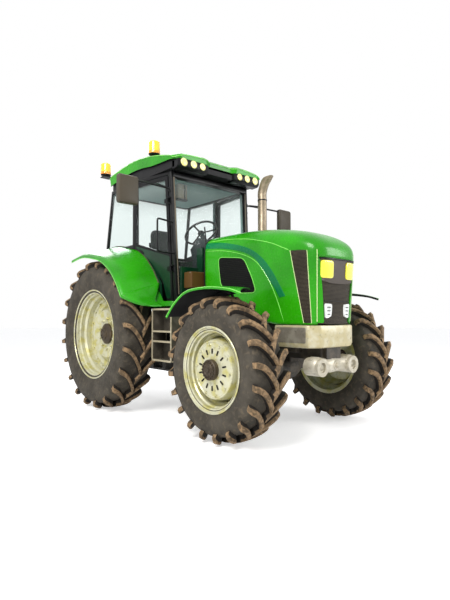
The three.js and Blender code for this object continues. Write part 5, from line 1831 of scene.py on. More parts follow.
@dataclass
class RearFender:
    """A broad arched fender that slopes down and outwards from the cab, with its sill and toe.

    The first `above` points of its section are the green ones: the top and the lip.
    """

    side: Side
    tyre: float = 0.926
    inner: float = 0.663
    outer: float = 1.150
    above: int = 22
    slope: float = 0.30
    thick: float = 0.018
    arch: tuple[tuple[float, float], ...] = (
        (151.4, 0.046), (146.3, 0.041), (137.9, 0.041), (125, 0.045), (110.7, 0.049), (96.2, 0.051),
        (79.1, 0.100), (62, 0.178))

    def section(self) -> tuple[Array, Array]:
        """The skin's section with its turned-down lip, and the lift of each of its points.

        Returns:
            The section and the lifts.
        """
        x = np.concatenate([np.linspace(self.inner, self.outer - 0.05, 14),
                            self.outer - 0.05 + 0.05 * np.sin(np.linspace(0.25, 1, 6) * math.pi / 2)])
        drop = np.where(x > self.outer - 0.05, -(x - self.outer + 0.05) ** 2 * 7, 0)
        upper = np.stack([x, drop], 1)
        lip = np.array([(self.outer, drop[-1] - 0.030), (self.outer - 0.010, drop[-1] - 0.030)])
        under = np.stack([x[::-1] - np.linspace(0.010, 0, len(x)), drop[::-1] - self.thick], 1)
        section = np.vstack([upper, lip, under])
        return section, self.slope * (self.outer - section[:, 0])

    def build(self) -> None:
        """The skin with its black lining, the lime bead along its lip as a painted highlight, the sill and the toe.
        """
        name, s = self.side.label, self.side.value
        line = arch_over(self.tyre, Layout.rear_axle_y - Layout.axle_y, self.arch, 90)
        section, lift = self.section()
        grid = sheet_over(line, section, self.side, lift)
        colour = np.where(np.arange(len(section)) < self.above, 0, 1)
        shell = Shell().grid(grid, wrap_v=True, finish=colour).disc(grid[0], 1).disc(grid[-1], 0)
        skin = fitted(f"rear_fender_skin_{name}", shell, "paint_green", Look.GREEN, Look.BLACK,
                      replaces=f"rear_fender_{name}")
        with_bevel(skin, 0.003)
        # The bead along the lip's top is lighter paint: a painted highlight.
        edge = grid[:, 20] + np.array([s * -0.001, 0, 0.004])
        roll = Shell().sweep(edge, circle(0.0045, 8), (s, 0, 0.1))
        fitted(f"rear_fender_lip_{name}", roll, "paint_green", Look.LIME, edge=Edge.SMOOTH)
        inner = Shell().sweep(grid[:-12, 0] + np.array([s * 0.012, 0, 0.002]), circle(0.006, 8), (s, 0, 0.1))
        fitted(f"rear_fender_seal_{name}", inner, "black_plastic", Look.BROWN_TRIM, edge=Edge.SMOOTH)
        self.gusset(grid[0])
        self.sill(line)

    def gusset(self, end: Array) -> None:
        """The curved panel that closes the skin's front end down to the sill: lines from each point
        of that end to the sill's outer edge, bowed by a sine.

        Args:
            end: the skin's front ring.
        """
        s = self.side.value
        start = end[:self.above] - Layout.at(0, 0, 0)
        share = np.linspace(0, 1, len(start))[:, None]
        stop = np.concatenate([np.full((len(start), 1), s * 0.797), 1.262 - 0.19 * share, 1.312 - 0.052 * share], 1)
        f = np.linspace(0, 1, 16)[None, :, None]
        sheet = start[:, None] * (1 - f) + stop[:, None] * f
        sheet[..., 2] -= 0.030 * np.sin(f[..., 0] * math.pi) * (0.4 + share)
        panel = fitted(f"fender_gusset_{self.side.label}", Shell().grid(Layout.shifted(sheet)), "paint_green",
                       Look.GREEN, edge=Edge.SMOOTH)
        with_wall(panel, 0.012, 0.0)

    def sill(self, line: Array) -> None:
        """The sill plate below the door and the toe that joins it to the skin.

        Args:
            line: the arch's points.
        """
        s = self.side.value
        toe, heel = line[0], line[12]
        low, high = 1.258, 1.313
        front = 0.905
        outline = np.array([(front, low), (front, high), (toe[0] - 0.094, high), (toe[0] - 0.03, toe[1] + 0.010),
                            (heel[0] - 0.004, heel[1] - 0.002), (heel[0] + 0.012, heel[1] - 0.03),
                            (toe[0], toe[1] - 0.03), (toe[0] - 0.06, low)])
        outline = rounded_polygon(outline, 0.016, 4)
        rings = across(outline, [(s * self.inner, 0.98), (s * (self.inner + 0.004), 1), (s * 0.792, 1),
                                 (s * 0.798, 0.975)])
        fitted(f"cab_sill_{self.side.label}", Shell().tube(rings), "paint_green", Look.GREEN)


# --------------------------------------------------------------------- cab
def between(low: Sequence[float], high: Sequence[float], share: float) -> Array:
    """The point a share of the way from one point to another."""
    return np.asarray(low, float) + (np.asarray(high, float) - np.asarray(low, float)) * share


def pane(name: str, corners: Points, thick: float, finish: Finish, bow: float = 0.0, count: int = 14) -> Object:
    """A slightly bowed sheet between four corners.

    Args:
        name: the piece's name.
        corners: its corners in order, y from the front axle.
        thick: its thickness.
        finish: its finish.
        bow: how far its middle stands out, along u x v; it falls off by the square to the edges.
        count: points along each edge.

    Returns:
        The sheet, with its wall.
    """
    a, b, c, d = (Layout.at(*corner) for corner in corners)
    u, v = np.meshgrid(np.linspace(0, 1, count), np.linspace(0, 1, count), indexing="ij")
    u, v = u[..., None], v[..., None]
    flat = (a * (1 - u) + b * u) * (1 - v) + (d * (1 - u) + c * u) * v
    out = np.cross(b - a, d - a)
    out /= np.linalg.norm(out)
    grid = flat + out * bow * (1 - (2 * u - 1) ** 2) * (1 - (2 * v - 1) ** 2)
    return with_wall(mesh_object(name, Shell().grid(grid), [finish], Edge.SMOOTH), thick, 0.0)


@dataclass
class Cab:
    """The cab's posts and rails, fixed glass, ceiling and trims; heights and depths in metres."""

    floor: float = 1.281
    belt: float = 2.052
    head: float = 2.8555
    front_foot: tuple[float, float] = (0.564, 1.150)
    front_top: tuple[float, float] = (0.590, 1.240)
    mid: tuple[float, float] = (0.672, 1.925)
    rear_foot: tuple[float, float] = (0.668, 2.654)
    rear_top: tuple[float, float] = (0.652, 2.534)

    def front_post(self, z: float) -> Array:
        """(x, y) of the front post at a height."""
        return between(self.front_foot, self.front_top, (z - 1.280) / 1.576)

    def rear_post(self, z: float) -> Array:
        """(x, y) of the rear post at a height."""
        return between(self.rear_foot, self.rear_top, (z - self.belt) / 0.804)

    def bar(self, shell: Shell, ends: Points, half: tuple[float, float],
            up: Sequence[float] = (0, 1, 0), finish: int = 0) -> None:
        """Adds a straight bar of rounded square section."""
        shell.sweep(Layout.shifted(ends), rounded_rect(*half, 0.008, 4), up, finish=finish)

    def build(self) -> None:
        """Posts and rails, then glass, ceiling, trims and what hangs on the posts."""
        self.skeleton()
        self.glass()
        self.ceiling()
        for side in Side:
            self.trims(side)
        self.wiper()
        self.back()

    def skeleton(self) -> None:
        """The black frame: six posts, the head ring, the sill and belt rails, hinges and grab rails."""
        shell = Shell()
        z0, z1 = self.floor, self.head
        for side in Side:
            s = side.value
            foot, top = self.front_post(z0), self.front_post(z1)
            self.bar(shell, [(s * foot[0], foot[1], z0), (s * top[0], top[1], z1)], (0.028, 0.028))
            self.bar(shell, [(s * self.mid[0], self.mid[1], 1.991), (s * self.mid[0], self.mid[1], z1)],
                     (0.019, 0.025))
            low, high = self.rear_post(1.991), self.rear_post(z1)
            self.bar(shell, [(s * low[0], low[1], 1.991), (s * high[0], high[1], z1)], (0.018, 0.020))
            self.bar(shell, [(s * 0.672, 1.91, 2.021), (s * 0.672, 2.66, 2.021)], (0.026, 0.030), (0, 0, 1))
            rail = z1 - 0.023
            run = [(s * top[0], top[1], rail), (s * 0.670, self.mid[1], rail), (s * high[0], high[1], rail)]
            shell.sweep(Layout.run(run, 0.2), rounded_rect(0.027, 0.023, 0.008, 4))
            self.hinges(shell, s)
            self.grab_rail(shell, s)
        top, low, high = self.front_post(z1), self.front_post(1.33), self.rear_post(z1)
        self.bar(shell, [(-top[0], top[1], z1 - 0.046), (top[0], top[1], z1 - 0.046)], (0.028, 0.046))
        self.bar(shell, [(-high[0], high[1], z1 - 0.030), (high[0], high[1], z1 - 0.030)], (0.024, 0.030))
        self.bar(shell, [(-low[0], low[1], 1.336), (low[0], low[1], 1.336)], (0.026, 0.053))
        self.bar(shell, [(-0.668, 2.668, 2.022), (0.668, 2.668, 2.022)], (0.024, 0.030))
        fitted("cab_frame_bars", shell, "black_metal", Look.SATIN, replaces="cab_frame")

    def hinges(self, shell: Shell, s: int) -> None:
        """The two door hinges' lugs and pins on one front post.

        Args:
            shell: what takes the faces.
            s: the sign of x on that side.
        """
        for z in (1.700, 2.500):
            x, y = self.front_post(z)
            x, y = x + 0.028 + 0.021, y + 0.028 + 0.008
            pin = [(s * x, y, z - 0.040), (s * x, y, z + 0.040)]
            shell.sweep(Layout.shifted(pin), circle(0.008, 16), (0, 1, 0))
            for at in (z - 0.034, z + 0.034):
                ring = [(0.0079, -0.006), (0.0079, 0.006), (0.0120, 0.006), (0.0120, -0.006)]
                shell.lathe(ring, Layout.at(s * x, y, at), (0, 0, 1), 20, wrap=True)
                shell.block((s * (x - 0.024), y - 0.040, at - 0.006), (s * (x + 0.006), y - 0.009, at + 0.006), 0.002)

    def grab_rail(self, shell: Shell, s: int) -> None:
        """The rectangular grab rail ahead of the door.

        Args:
            shell: what takes the faces.
            s: the sign of x on that side.
        """
        low, high, out, y = 1.872, 2.238, 0.868, 1.105
        foot, top = self.front_post(low), self.front_post(high)
        loop = bent_path([(s * foot[0], foot[1] - 0.014, low), (s * out, y, low), (s * out, y, high),
                          (s * top[0], top[1] - 0.014, high)], 0.03, 5)
        shell.sweep(Layout.run(loop, 0.02), circle(0.0105, 12), (0, 1, 0.2))

    def glass(self) -> None:
        """Windscreen, rear window and the two quarter panes, between the middles of their posts."""
        foot, top = self.front_post(1.391), self.front_post(2.762)
        screen = pane("windshield_pane", [(-foot[0] + 0.024, foot[1], 1.391), (foot[0] - 0.024, foot[1], 1.391),
                                          (top[0] - 0.024, top[1], 2.762), (-top[0] + 0.024, top[1], 2.762)],
                      GLASS_THICK, Look.GLASS)
        mounted(screen, "chassis", "windshield")
        low, high = self.rear_post(2.054), self.rear_post(2.795)
        rear = pane("rear_window_pane", [(low[0] - 0.014, low[1], 2.054), (-low[0] + 0.014, low[1], 2.054),
                                         (-high[0] + 0.014, high[1], 2.795), (high[0] - 0.014, high[1], 2.795)],
                    GLASS_THICK, Look.GLASS)
        mounted(rear, "chassis", "rear_window")
        for side in Side:
            s = side.value
            corners = [(s * 0.664, 1.946, 2.053), (s * 0.664, low[1] - 0.019, 2.053),
                       (s * 0.664, high[1] - 0.019, 2.809), (s * 0.664, 1.946, 2.809)]
            quarter = pane(f"quarter_pane_{side.label}", corners, GLASS_THICK, Look.GLASS)
            mounted(quarter, "chassis", f"quarter_glass_{side.label}")

    def ceiling(self) -> None:
        """The pale teal headlining: a slab and a console box over the windscreen, then the sun visor and its strap.
        """
        shell = Shell()
        shell.block((-0.575, 1.285, 2.806), (0.575, 2.500, 2.852), 0.030)
        shell.block((-0.46, 1.29, 2.770), (0.46, 1.42, 2.808), 0.020)
        fitted("headlining", shell, "black_plastic", Look.TRIM)
        visor = Shell()
        visor.block((-0.440, 1.310, 2.560), (-0.300, 1.372, 2.755), 0.016)
        fitted("sun_visor", visor, "black_plastic", Look.VISOR)
        strap = Shell()
        strap.block((-0.443, 1.306, 2.556), (-0.297, 1.376, 2.580), 0.010)
        strap.block((-0.350, 1.300, 2.58), (-0.338, 1.309, 2.752), 0.003)
        fitted("visor_strap", strap, "black_plastic", Look.SATIN)

    def trims(self, side: Side) -> None:
        """Inner covers on the posts, the tan seal beside the windscreen and the foot box.

        Args:
            side: which side.
        """
        s, name = side.value, side.label
        cover = Shell()
        low, high = self.front_post(1.42), self.front_post(2.77)
        self.bar(cover,
                 [(s * (low[0] - 0.034), low[1] + 0.022, 1.42), (s * (high[0] - 0.034), high[1] + 0.022, 2.77)],
                 (0.020, 0.010))
        self.bar(cover, [(s * 0.640, 1.925, 2.06), (s * 0.640, 1.925, 2.80)], (0.016, 0.010))
        fitted(f"post_covers_{name}", cover, "black_plastic", Look.TRIM)
        strip = Shell()
        low, high = self.front_post(1.40), self.front_post(2.80)
        self.bar(strip,
                 [(s * (low[0] - 0.012), low[1] - 0.0285, 1.40), (s * (high[0] - 0.012), high[1] - 0.0285, 2.80)],
                 (0.007, 0.003))
        fitted(f"screen_seal_{name}", strip, "black_plastic", Look.VISOR)
        box = Shell()
        box.block((s * 0.30, 0.935, 1.300), (s * 0.52, 1.085, 1.462), 0.02, finish=1)
        box.block((s * 0.30, 0.935, 1.466), (s * 0.52, 1.085, 1.655), 0.02)
        fitted(f"foot_box_{name}", box, "black_plastic", Look.BROWN, Look.SATIN)
        panel = Shell()
        panel.block((s * 0.30, 1.100, 1.300), (s * 0.545, 1.128, 1.720), 0.008)
        fitted(f"cowl_panel_{name}", panel, "paint_dark_green", Look.DEEP_GREEN)

    def back(self) -> None:
        """The pressed fields of the tub's rear wall and the tail lamps above them."""
        ribs, lamps = Shell(), Shell()
        for low, high in ((1.330, 1.490), (1.520, 1.680), (1.710, 1.870)):
            ribs.block((-0.52, 2.636, low), (0.52, 2.647, high), 0.005)
        for side in Side:
            for near, far, finish in ((0.455, 0.545, 0), (0.548, 0.615, 1)):
                lamps.block((side.value * near, 2.636, 1.915), (side.value * far, 2.649, 1.985), 0.006, finish=finish)
        fitted("tub_rear_fields", ribs, "paint_dark_green", Look.DEEP_GREEN)
        fitted("tail_lamps", lamps, "beacon_amber", Look.RED, Look.DEEP_AMBER)

    def wiper(self) -> None:
        """The windscreen wiper: a motor cap, its arm and the blade, resting on the glass."""
        shell = Shell()
        line = [(0.05, 1.144, 1.50), (-0.06, 1.150, 1.80), (-0.12, 1.166, 2.02)]
        shell.sweep(Layout.run(line, 0.05), rounded_rect(0.006, 0.004, 0.002, 3), (1, 0, 0))
        blade = [(-0.10, 1.151, 1.78), (-0.14, 1.175, 2.24)]
        shell.sweep(Layout.run(blade, 0.05), rounded_rect(0.005, 0.008, 0.002, 3), (1, 0, 0))
        shell.lathe(np.array([(0.001, 0.030), (0.018, 0.028), (0.022, 0.018), (0.022, 0.0)]),
                    Layout.at(0.05, 1.168, 1.50), (0, -1, 0), 20)
        fitted("wiper", shell, "black_plastic", Look.SATIN)


@dataclass
class Door:
    """One glazed door that swings on the front post: black frame, dark green foot and a long handle.

    Its outer face is a plane, x = slope * y + lean * z + offset, with y from the front axle.
    """

    side: Side
    slope: float = 0.13677
    lean: float = 0.008687
    offset: float = 0.42359

    def on_plane(self, points: Array, depth: float | Array) -> Array:
        """Lays (y, z) points a depth inside the outer face.

        Args:
            points: (y, z) points.
            depth: how far inside it.

        Returns:
            The points, in the frame's axes.
        """
        points = np.asarray(points, float)
        x = self.slope * points[..., 0] + self.lean * points[..., 1] + self.offset - depth
        return Layout.shifted(np.stack([self.side.value * x, points[..., 0], points[..., 1]], -1))

    def plate(self, outline: Array, low: float, high: float, shell: Shell, rim: float = 0.003) -> None:
        """Adds a plate with the given outline between two depths, with its outer edge eased.

        Args:
            outline: (y, z) points.
            low: depth of the outer face.
            high: depth of the inner face.
            shell: what takes the faces.
            rim: reach of the eased edge.
        """
        middle = outline.mean(0)
        half = np.abs(outline - middle).max(0)
        inner = middle + (outline - middle) * (1 - rim / half)
        rings = np.stack([self.on_plane(p, d) for p, d in ((outline, high), (outline, low + rim), (inner, low))])
        shell.tube(rings)

    def build(self) -> None:
        """The frame from its CAD node, the foot panel, the pane and the handle."""
        name, body = self.side.label, f"door_{self.side.label}"
        refined(f"door_frame_{name}", Look.SATIN, 0.004)
        foot = rounded_polygon([(1.222, 1.352), (1.288, 1.352), (1.350, 1.560), (1.455, 1.672), (1.640, 1.855),
                                (1.800, 1.972), (1.862, 2.022), (1.240, 1.850)], 0.03, 5)
        panel = Shell()
        self.plate(foot, -0.004, 0.004, panel)
        fitted(f"door_foot_{name}", panel, "paint_dark_green", Look.DEEP_GREEN, body=body)
        lining = Shell()
        self.plate(foot, 0.0355, 0.0405, lining, 0.002)
        fitted(f"door_lining_{name}", lining, "black_plastic", Look.BLACK, body=body)
        window = [(1.262, 1.872), (1.852, 2.048), (1.852, 2.762), (1.310, 2.762)]
        corners = [self.on_plane(np.array([p]), 0.018)[0] - np.array([0, Layout.axle_y, 0]) for p in window]
        glass = pane(f"door_pane_{name}", corners, GLASS_THICK, Look.GLASS)
        mounted(glass, body, f"door_glass_{name}")
        handle = Shell()
        loop = bent_path(np.array([(1.255, 2.02), (1.238, 2.02), (1.238, 2.20), (1.255, 2.20)]), 0.01, 4)
        path = self.on_plane(loop, np.concatenate([[0.0], np.full(len(loop) - 2, -0.022), [0.0]]))
        handle.sweep(path, circle(0.007, 10), (1, 0.2, 0))
        latch = rounded_polygon([(1.70, 1.905), (1.78, 1.955), (1.78, 1.985), (1.70, 1.935)], 0.008, 3)
        self.plate(latch, -0.012, 0.002, handle, 0.002)
        fitted(f"door_handle_{name}", handle, "black_metal", Look.SATIN, body=body)


@dataclass
class Roof:
    """The roof: an arched green shell with a brim over two lamp pods, and black pods and lining below."""

    half: float = 0.692
    front: float = 1.000
    rear: float = 2.625
    thick: float = 0.072
    crown: float = 0.042
    arch: tuple[tuple[float, float], ...] = ((1.000, 2.966), (1.5395, 3.086), (2.0205, 3.117), (2.625, 3.052))
    pod_inner: float = 0.215
    pod_outer: float = 0.655
    lamps: tuple[float, ...] = (0.300, 0.432, 0.572)

    def arch_at(self, y: Array) -> Array:
        """Height of the roof's side edge at a depth."""
        line = spline(self.arch, 200)
        return np.interp(y, line[:, 0], line[:, 1])

    def corner_at(self, x: Array) -> Array:
        """How far a rounded corner, an elliptic arc from x = 0.60 outwards, sets an edge back."""
        return 0.075 * (1 - np.sqrt(1 - np.clip((np.abs(x) - 0.60) / 0.092, 0, 1) ** 2))

    def front_at(self, x: Array) -> Array:
        """Depth of the front edge: rounded at the corners and set back between the pods."""
        back = np.clip((self.pod_inner + 0.02 - np.abs(x)) / 0.06, 0, 1)
        return self.front + self.corner_at(x) + 0.045 * back * back * (3 - 2 * back)

    def rear_at(self, x: Array) -> Array:
        """Depth of the rear edge, rounded at the corners."""
        return self.rear - self.corner_at(x)

    def hump(self, x: Array, y: Array) -> Array:
        """How far the shell swells over each pod: a bell across it that fades to the rear.

        Args:
            x: distance from the middle plane.
            y: depth, from the front axle.

        Returns:
            The rise.
        """
        across = np.clip((np.abs(x) - self.pod_inner + 0.03) / 0.09, 0, 1) * np.clip(
            (self.pod_outer + 0.03 - np.abs(x)) / 0.09, 0, 1)
        along = np.clip((1.42 - y) / 0.40, 0, 1)
        return 0.020 * across * along**1.5

    def build(self) -> None:
        """The shell, then the pods, lamps and lining."""
        s = np.sin(np.linspace(-1, 1, 81) * math.pi / 2)
        x = self.half * s
        t = np.linspace(0, 1, 60)
        y = self.front_at(x)[:, None] * (1 - t) + self.rear_at(x)[:, None] * t
        xs = np.broadcast_to(x[:, None], y.shape)
        edge = self.arch_at(y)
        top = edge + self.crown * (1 - s[:, None] ** 4) + self.hump(xs, y)
        ease = 0.016 * np.exp(-t / 0.012) + 0.016 * np.exp(-(1 - t) / 0.012)
        upper = np.stack([xs, y, top - ease], -1)
        slim = 0.034 * np.clip((1.5 - y) / 0.35, 0, 1) ** 1.5
        sag = 0.010 * np.clip((self.pod_inner - np.abs(xs)) / 0.05, 0, 1) * np.clip((1.3 - y) / 0.2, 0, 1)
        skirt = 0.052 * np.clip((np.abs(xs) - 0.662) / 0.012, 0, 1) * np.clip((y - 1.05) / 0.5, 0, 1)
        lower = np.stack([xs * 0.985, y + (0.5 - t) * 0.02,
                          edge - self.thick + slim + sag + self.hump(xs, y) - skirt], -1)
        shell = Shell().grid(Layout.shifted(upper)).grid(Layout.shifted(lower), finish=1)
        for a, b in ((upper[0], lower[0]), (upper[-1], lower[-1]), (upper[:, 0], lower[:, 0]),
                     (upper[:, -1], lower[:, -1])):
            steps = np.linspace(0, 1, 6)[:, None, None]
            shell.grid(Layout.shifted(a * (1 - steps) + b * steps))
        fitted("roof_skin", shell, "paint_green", Look.GREEN, Look.BLACK, replaces="roof_shell")
        # The line round the shell's edge is lighter paint: a painted highlight.
        rim = np.vstack([upper[0, ::-1], upper[1:-1, 0], upper[-1], upper[-2:0:-1, -1]])
        rim = rim + np.array([0, 0, -0.008])
        line = Shell().sweep(Layout.shifted(rim), circle(0.005, 6), (0, 0, 1), closed=True)
        fitted("roof_rim_line", line, "paint_green", Look.LIME, edge=Edge.SMOOTH)
        self.lining()
        for side in Side:
            self.pod(side)

    def lining(self) -> None:
        """The black body under the shell, from the head ring up to the shell's underside."""
        half = 0.655
        x = half * np.sin(np.linspace(-1, 1, 21) * math.pi / 2)
        corner = 0.05 * (1 - np.sqrt(1 - np.clip((np.abs(x) - 0.58) / 0.0751, 0, 1) ** 2))
        t = np.linspace(0, 1, 30)
        y = (1.040 + corner)[:, None] * (1 - t) + (2.588 - corner)[:, None] * t
        xs = np.broadcast_to(x[:, None], y.shape)
        top = self.arch_at(y) - self.thick + 0.012
        foot = np.full(y.shape, 2.857)
        grid = np.stack([np.stack([xs, y, z], -1) for z in (foot, foot + 0.01, top)])
        shell = Shell().grid(Layout.shifted(grid[0])).grid(Layout.shifted(grid[2]))
        for pick in (np.s_[:, 0, :], np.s_[:, -1, :], np.s_[:, :, 0], np.s_[:, :, -1]):
            shell.grid(Layout.shifted(grid[pick]))
        fitted("roof_body", shell, "black_plastic", Look.BLACK, replaces="roof_lining")

    def pod(self, side: Side) -> None:
        """One lamp pod: a black housing under the brim with three round lamps and their bezels.

        Args:
            side: which side.
        """
        s, name = side.value, side.label
        housing = Shell()
        section = rounded_polygon([(1.012, 2.950), (1.012, 2.868), (1.045, 2.838), (1.14, 2.832), (1.14, 2.950)],
                                  0.014, 4)
        rings = across(section, [(s * (self.pod_inner - 0.01), 0.86), (s * (self.pod_inner + 0.01), 1),
                                 (s * (self.pod_outer - 0.02), 1), (s * self.pod_outer, 0.86)])
        housing.tube(rings)
        fitted(f"lamp_pod_{name}", housing, "black_plastic", Look.SATIN)
        lens, bezel = Shell(), Shell()
        for x, radius in zip(self.lamps, (0.044, 0.047, 0.050)):
            centre = Layout.at(s * x, 1.014, 2.908)
            glass = [(0.001, 0.016), (radius * 0.5, 0.0145), (radius * 0.85, 0.010), (radius, 0.003),
                     (radius, -0.010), (0.001, -0.010)]
            lens.lathe(glass, centre, (0, -1, 0.05), 32)
            ring = [(radius - 0.002, 0.003), (radius + 0.002, 0.008), (radius + 0.006, 0.002),
                    (radius + 0.006, -0.012), (radius - 0.002, -0.012)]
            bezel.lathe(ring, centre, (0, -1, 0.05), 32, wrap=True)
        fitted(f"roof_lamps_{name}", lens, "lamp_yellow", Look.ROOF_LAMP, edge=Edge.SMOOTH)
        fitted(f"roof_bezels_{name}", bezel, "black_plastic", Look.SATIN)
        self.rear_lamps(side)

    def rear_lamps(self, side: Side) -> None:
        """Two work lamps under the roof's rear edge.

        Args:
            side: which side.
        """
        s, name = side.value, side.label
        lens, case = Shell(), Shell()
        for x in (0.36, 0.52):
            centre = Layout.at(s * x, 2.590, 2.925)
            cup = [(0.001, 0.010), (0.030, 0.009), (0.041, 0.003), (0.041, -0.004), (0.001, -0.004)]
            lens.lathe(cup, centre, (0, 1, -0.1), 28)
            ring = [(0.040, 0.004), (0.046, 0.006), (0.048, -0.012), (0.040, -0.012)]
            case.lathe(ring, centre, (0, 1, -0.1), 28, wrap=True)
        fitted(f"rear_work_lamps_{name}", lens, "lamp_yellow", Look.ROOF_LAMP, edge=Edge.SMOOTH)
        fitted(f"rear_work_bezels_{name}", case, "black_plastic", Look.SATIN)


# ------------------------------------------------------------------ chassis
@dataclass
class Bumper:
    """The cast front weight: a cream block with a chamfered front edge over the cross tube."""

    half: float = 0.342
    front: float = -0.640
    low: float = 0.855
    high: float = 1.065
    rear: float = -0.150
    cut: float = 0.076

    def build(self) -> None:
        """A plan outline carried through rounded levels, with its chin chamfered, then darker plates on both sides as
        painted shade.
        """
        corners = [(-self.half, self.rear), (-self.half, self.front + self.cut),
                   (-self.half + self.cut * 1.2, self.front), (self.half - self.cut * 1.2, self.front),
                   (self.half, self.front + self.cut), (self.half, self.rear)]
        plan = rounded_polygon(corners, 0.028, 6)
        levels = [(0.026, 0.0), (0.012, 0.008), (0.0, 0.038), (0.0, 0.196), (0.003, 0.205), (0.010, 0.210)]
        middle = np.array([0, (self.front + self.rear) / 2])
        half = np.abs(plan - middle).max(0)
        rings = [np.concatenate([middle + (plan - middle) * (1 - inset / half),
                                 np.full((len(plan), 1), self.low + rise)], 1) for inset, rise in levels]
        grid = Layout.shifted(np.stack(rings))
        shell = Shell().tube(grid)
        fitted("bumper_casting", shell, "cast_silver", Look.BUMPER, replaces="front_bumper")
        # Darker plates on the bumper's sides: painted shade, the cream casting as it looks turned away from the
        # light.
        trim = Shell()
        for side in Side:
            x = side.value * (self.half + 0.0005)
            panel = rounded_polygon([(self.front + 0.10, 0.90), (self.front + 0.10, 1.045),
                                     (self.rear - 0.03, 1.045), (self.rear - 0.03, 0.90)], 0.02, 4)
            trim.tube(across(panel, [(x * 0.985, 1), (x * 1.004, 1)]))
        fitted("bumper_side_plates", trim, "cast_dark", Look.SIDE_PLATE)


@dataclass
class CrossTube:
    """The cast beam under the bumper: a tube with a conical end, two ringed bosses and a middle knob."""

    y: float = -0.560
    z: float = 0.690
    half: float = 0.322
    boss: float = 0.242

    def build(self) -> None:
        """The beam itself, its ringed bosses and their bolts."""
        half_profile = np.array([(0.001, 1), (0.034, 1), (0.052, 0.97), (0.066, 0.90), (0.078, 0.84),
                                 (0.080, 0.60), (0.072, 0.48), (0.070, 0.40), (0.070, 0.14), (0.074, 0.10)])
        profile = np.vstack([half_profile, half_profile[::-1] * np.array([1, -1])])
        profile[:, 1] *= self.half
        shell = Shell().lathe(profile, Layout.at(0, self.y, self.z), (1, 0, 0), 48)
        for x in (-self.boss, self.boss):
            ring = [(0.036, -0.052), (0.036, 0.060), (0.048, 0.064), (0.074, 0.060), (0.084, 0.046), (0.087, 0.020),
                    (0.087, -0.052)]
            shell.lathe(ring, Layout.at(x, self.y - 0.016, self.z), (0, -1, 0), 44, wrap=True)
        knob = [(0.001, 0.104), (0.018, 0.102), (0.026, 0.094), (0.026, 0.074), (0.040, 0.068), (0.042, 0.0)]
        shell.lathe(knob, Layout.at(0, self.y, self.z), (0, -1, 0), 28)
        rails = refined("front_frame", Look.SILVER, 0.005)
        rails.data.materials.append(Look.DARK_CAST.material())
        centres = np.empty(3 * len(rails.data.polygons))
        rails.data.polygons.foreach_get("center", centres)
        high = (centres.reshape(-1, 3)[:, 2] > 0.772) | (centres.reshape(-1, 3)[:, 1] > Layout.axle_y - 0.44)
        rails.data.polygons.foreach_set("material_index", high.astype(np.int32))
        fitted("cross_tube", shell, "cast_silver", Look.SILVER)
        bores = Shell()
        for x in (-self.boss, self.boss):
            bore = [(0.0362, -0.040), (0.0362, 0.034), (0.001, 0.038), (0.001, -0.040)]
            bores.lathe(bore, Layout.at(x, self.y - 0.016, self.z), (0, -1, 0), 24)
            turn = np.arange(6) * TAU / 6 + 0.3
            at = np.stack([x + 0.058 * np.cos(turn), np.full(6, self.y - 0.078), self.z + 0.058 * np.sin(turn)], 1)
            bores.bolts(Layout.shifted(at), (0, -1, 0), 0.0065, 0.006)
        fitted("cross_tube_bores", bores, "black_metal", Look.BLACK)


@dataclass(frozen=True)
class Dressing:
    """How one CAD node is refined: its finish, its material slot and the width of its rounded edges."""

    node: str
    finish: Finish
    slot: str
    width: float = 0.004

    def build(self) -> None:
        """Refines the node in place."""
        refined(self.node, self.finish, self.width)


def running_gear() -> list[Dressing]:
    """The chassis castings, the axle, the hitch and the boxes under the cab.

    Returns:
        One row for each node.
    """
    rows = [
        Dressing("engine_block", Look.DARK_CAST, "cast_dark", 0.006),
        Dressing("front_axle", Look.DARK_CAST, "cast_silver", 0.006),
        Dressing("drivetrain_housing", Look.DARK_CAST, "cast_dark", 0.006),
        Dressing("drawbar", Look.IRON, "black_metal", 0.003),
        Dressing("lower_links", Look.IRON, "black_metal", 0.003),
        Dressing("lift_arms", Look.DARK_CAST, "cast_dark", 0.003),
        Dressing("tool_box", Look.BLACK, "black_plastic", 0.008),
        Dressing("fuel_tank", Look.BLACK, "black_plastic", 0.008),
        Dressing("cab_tub", Look.DEEP_GREEN, "paint_dark_green", 0.0),
        Dressing("seat_pedestal", Look.BLACK, "black_plastic", 0.004),
        Dressing("dashboard", Look.COLUMN, "black_plastic", 0.008),
    ]
    for side in Side:
        name = side.label
        rows += [Dressing(f"steering_knuckle_{name}", Look.DARK_CAST, "cast_silver", 0.004),
                 Dressing(f"lift_rod_{name}", Look.IRON, "cast_dark", 0.002)]
    return rows


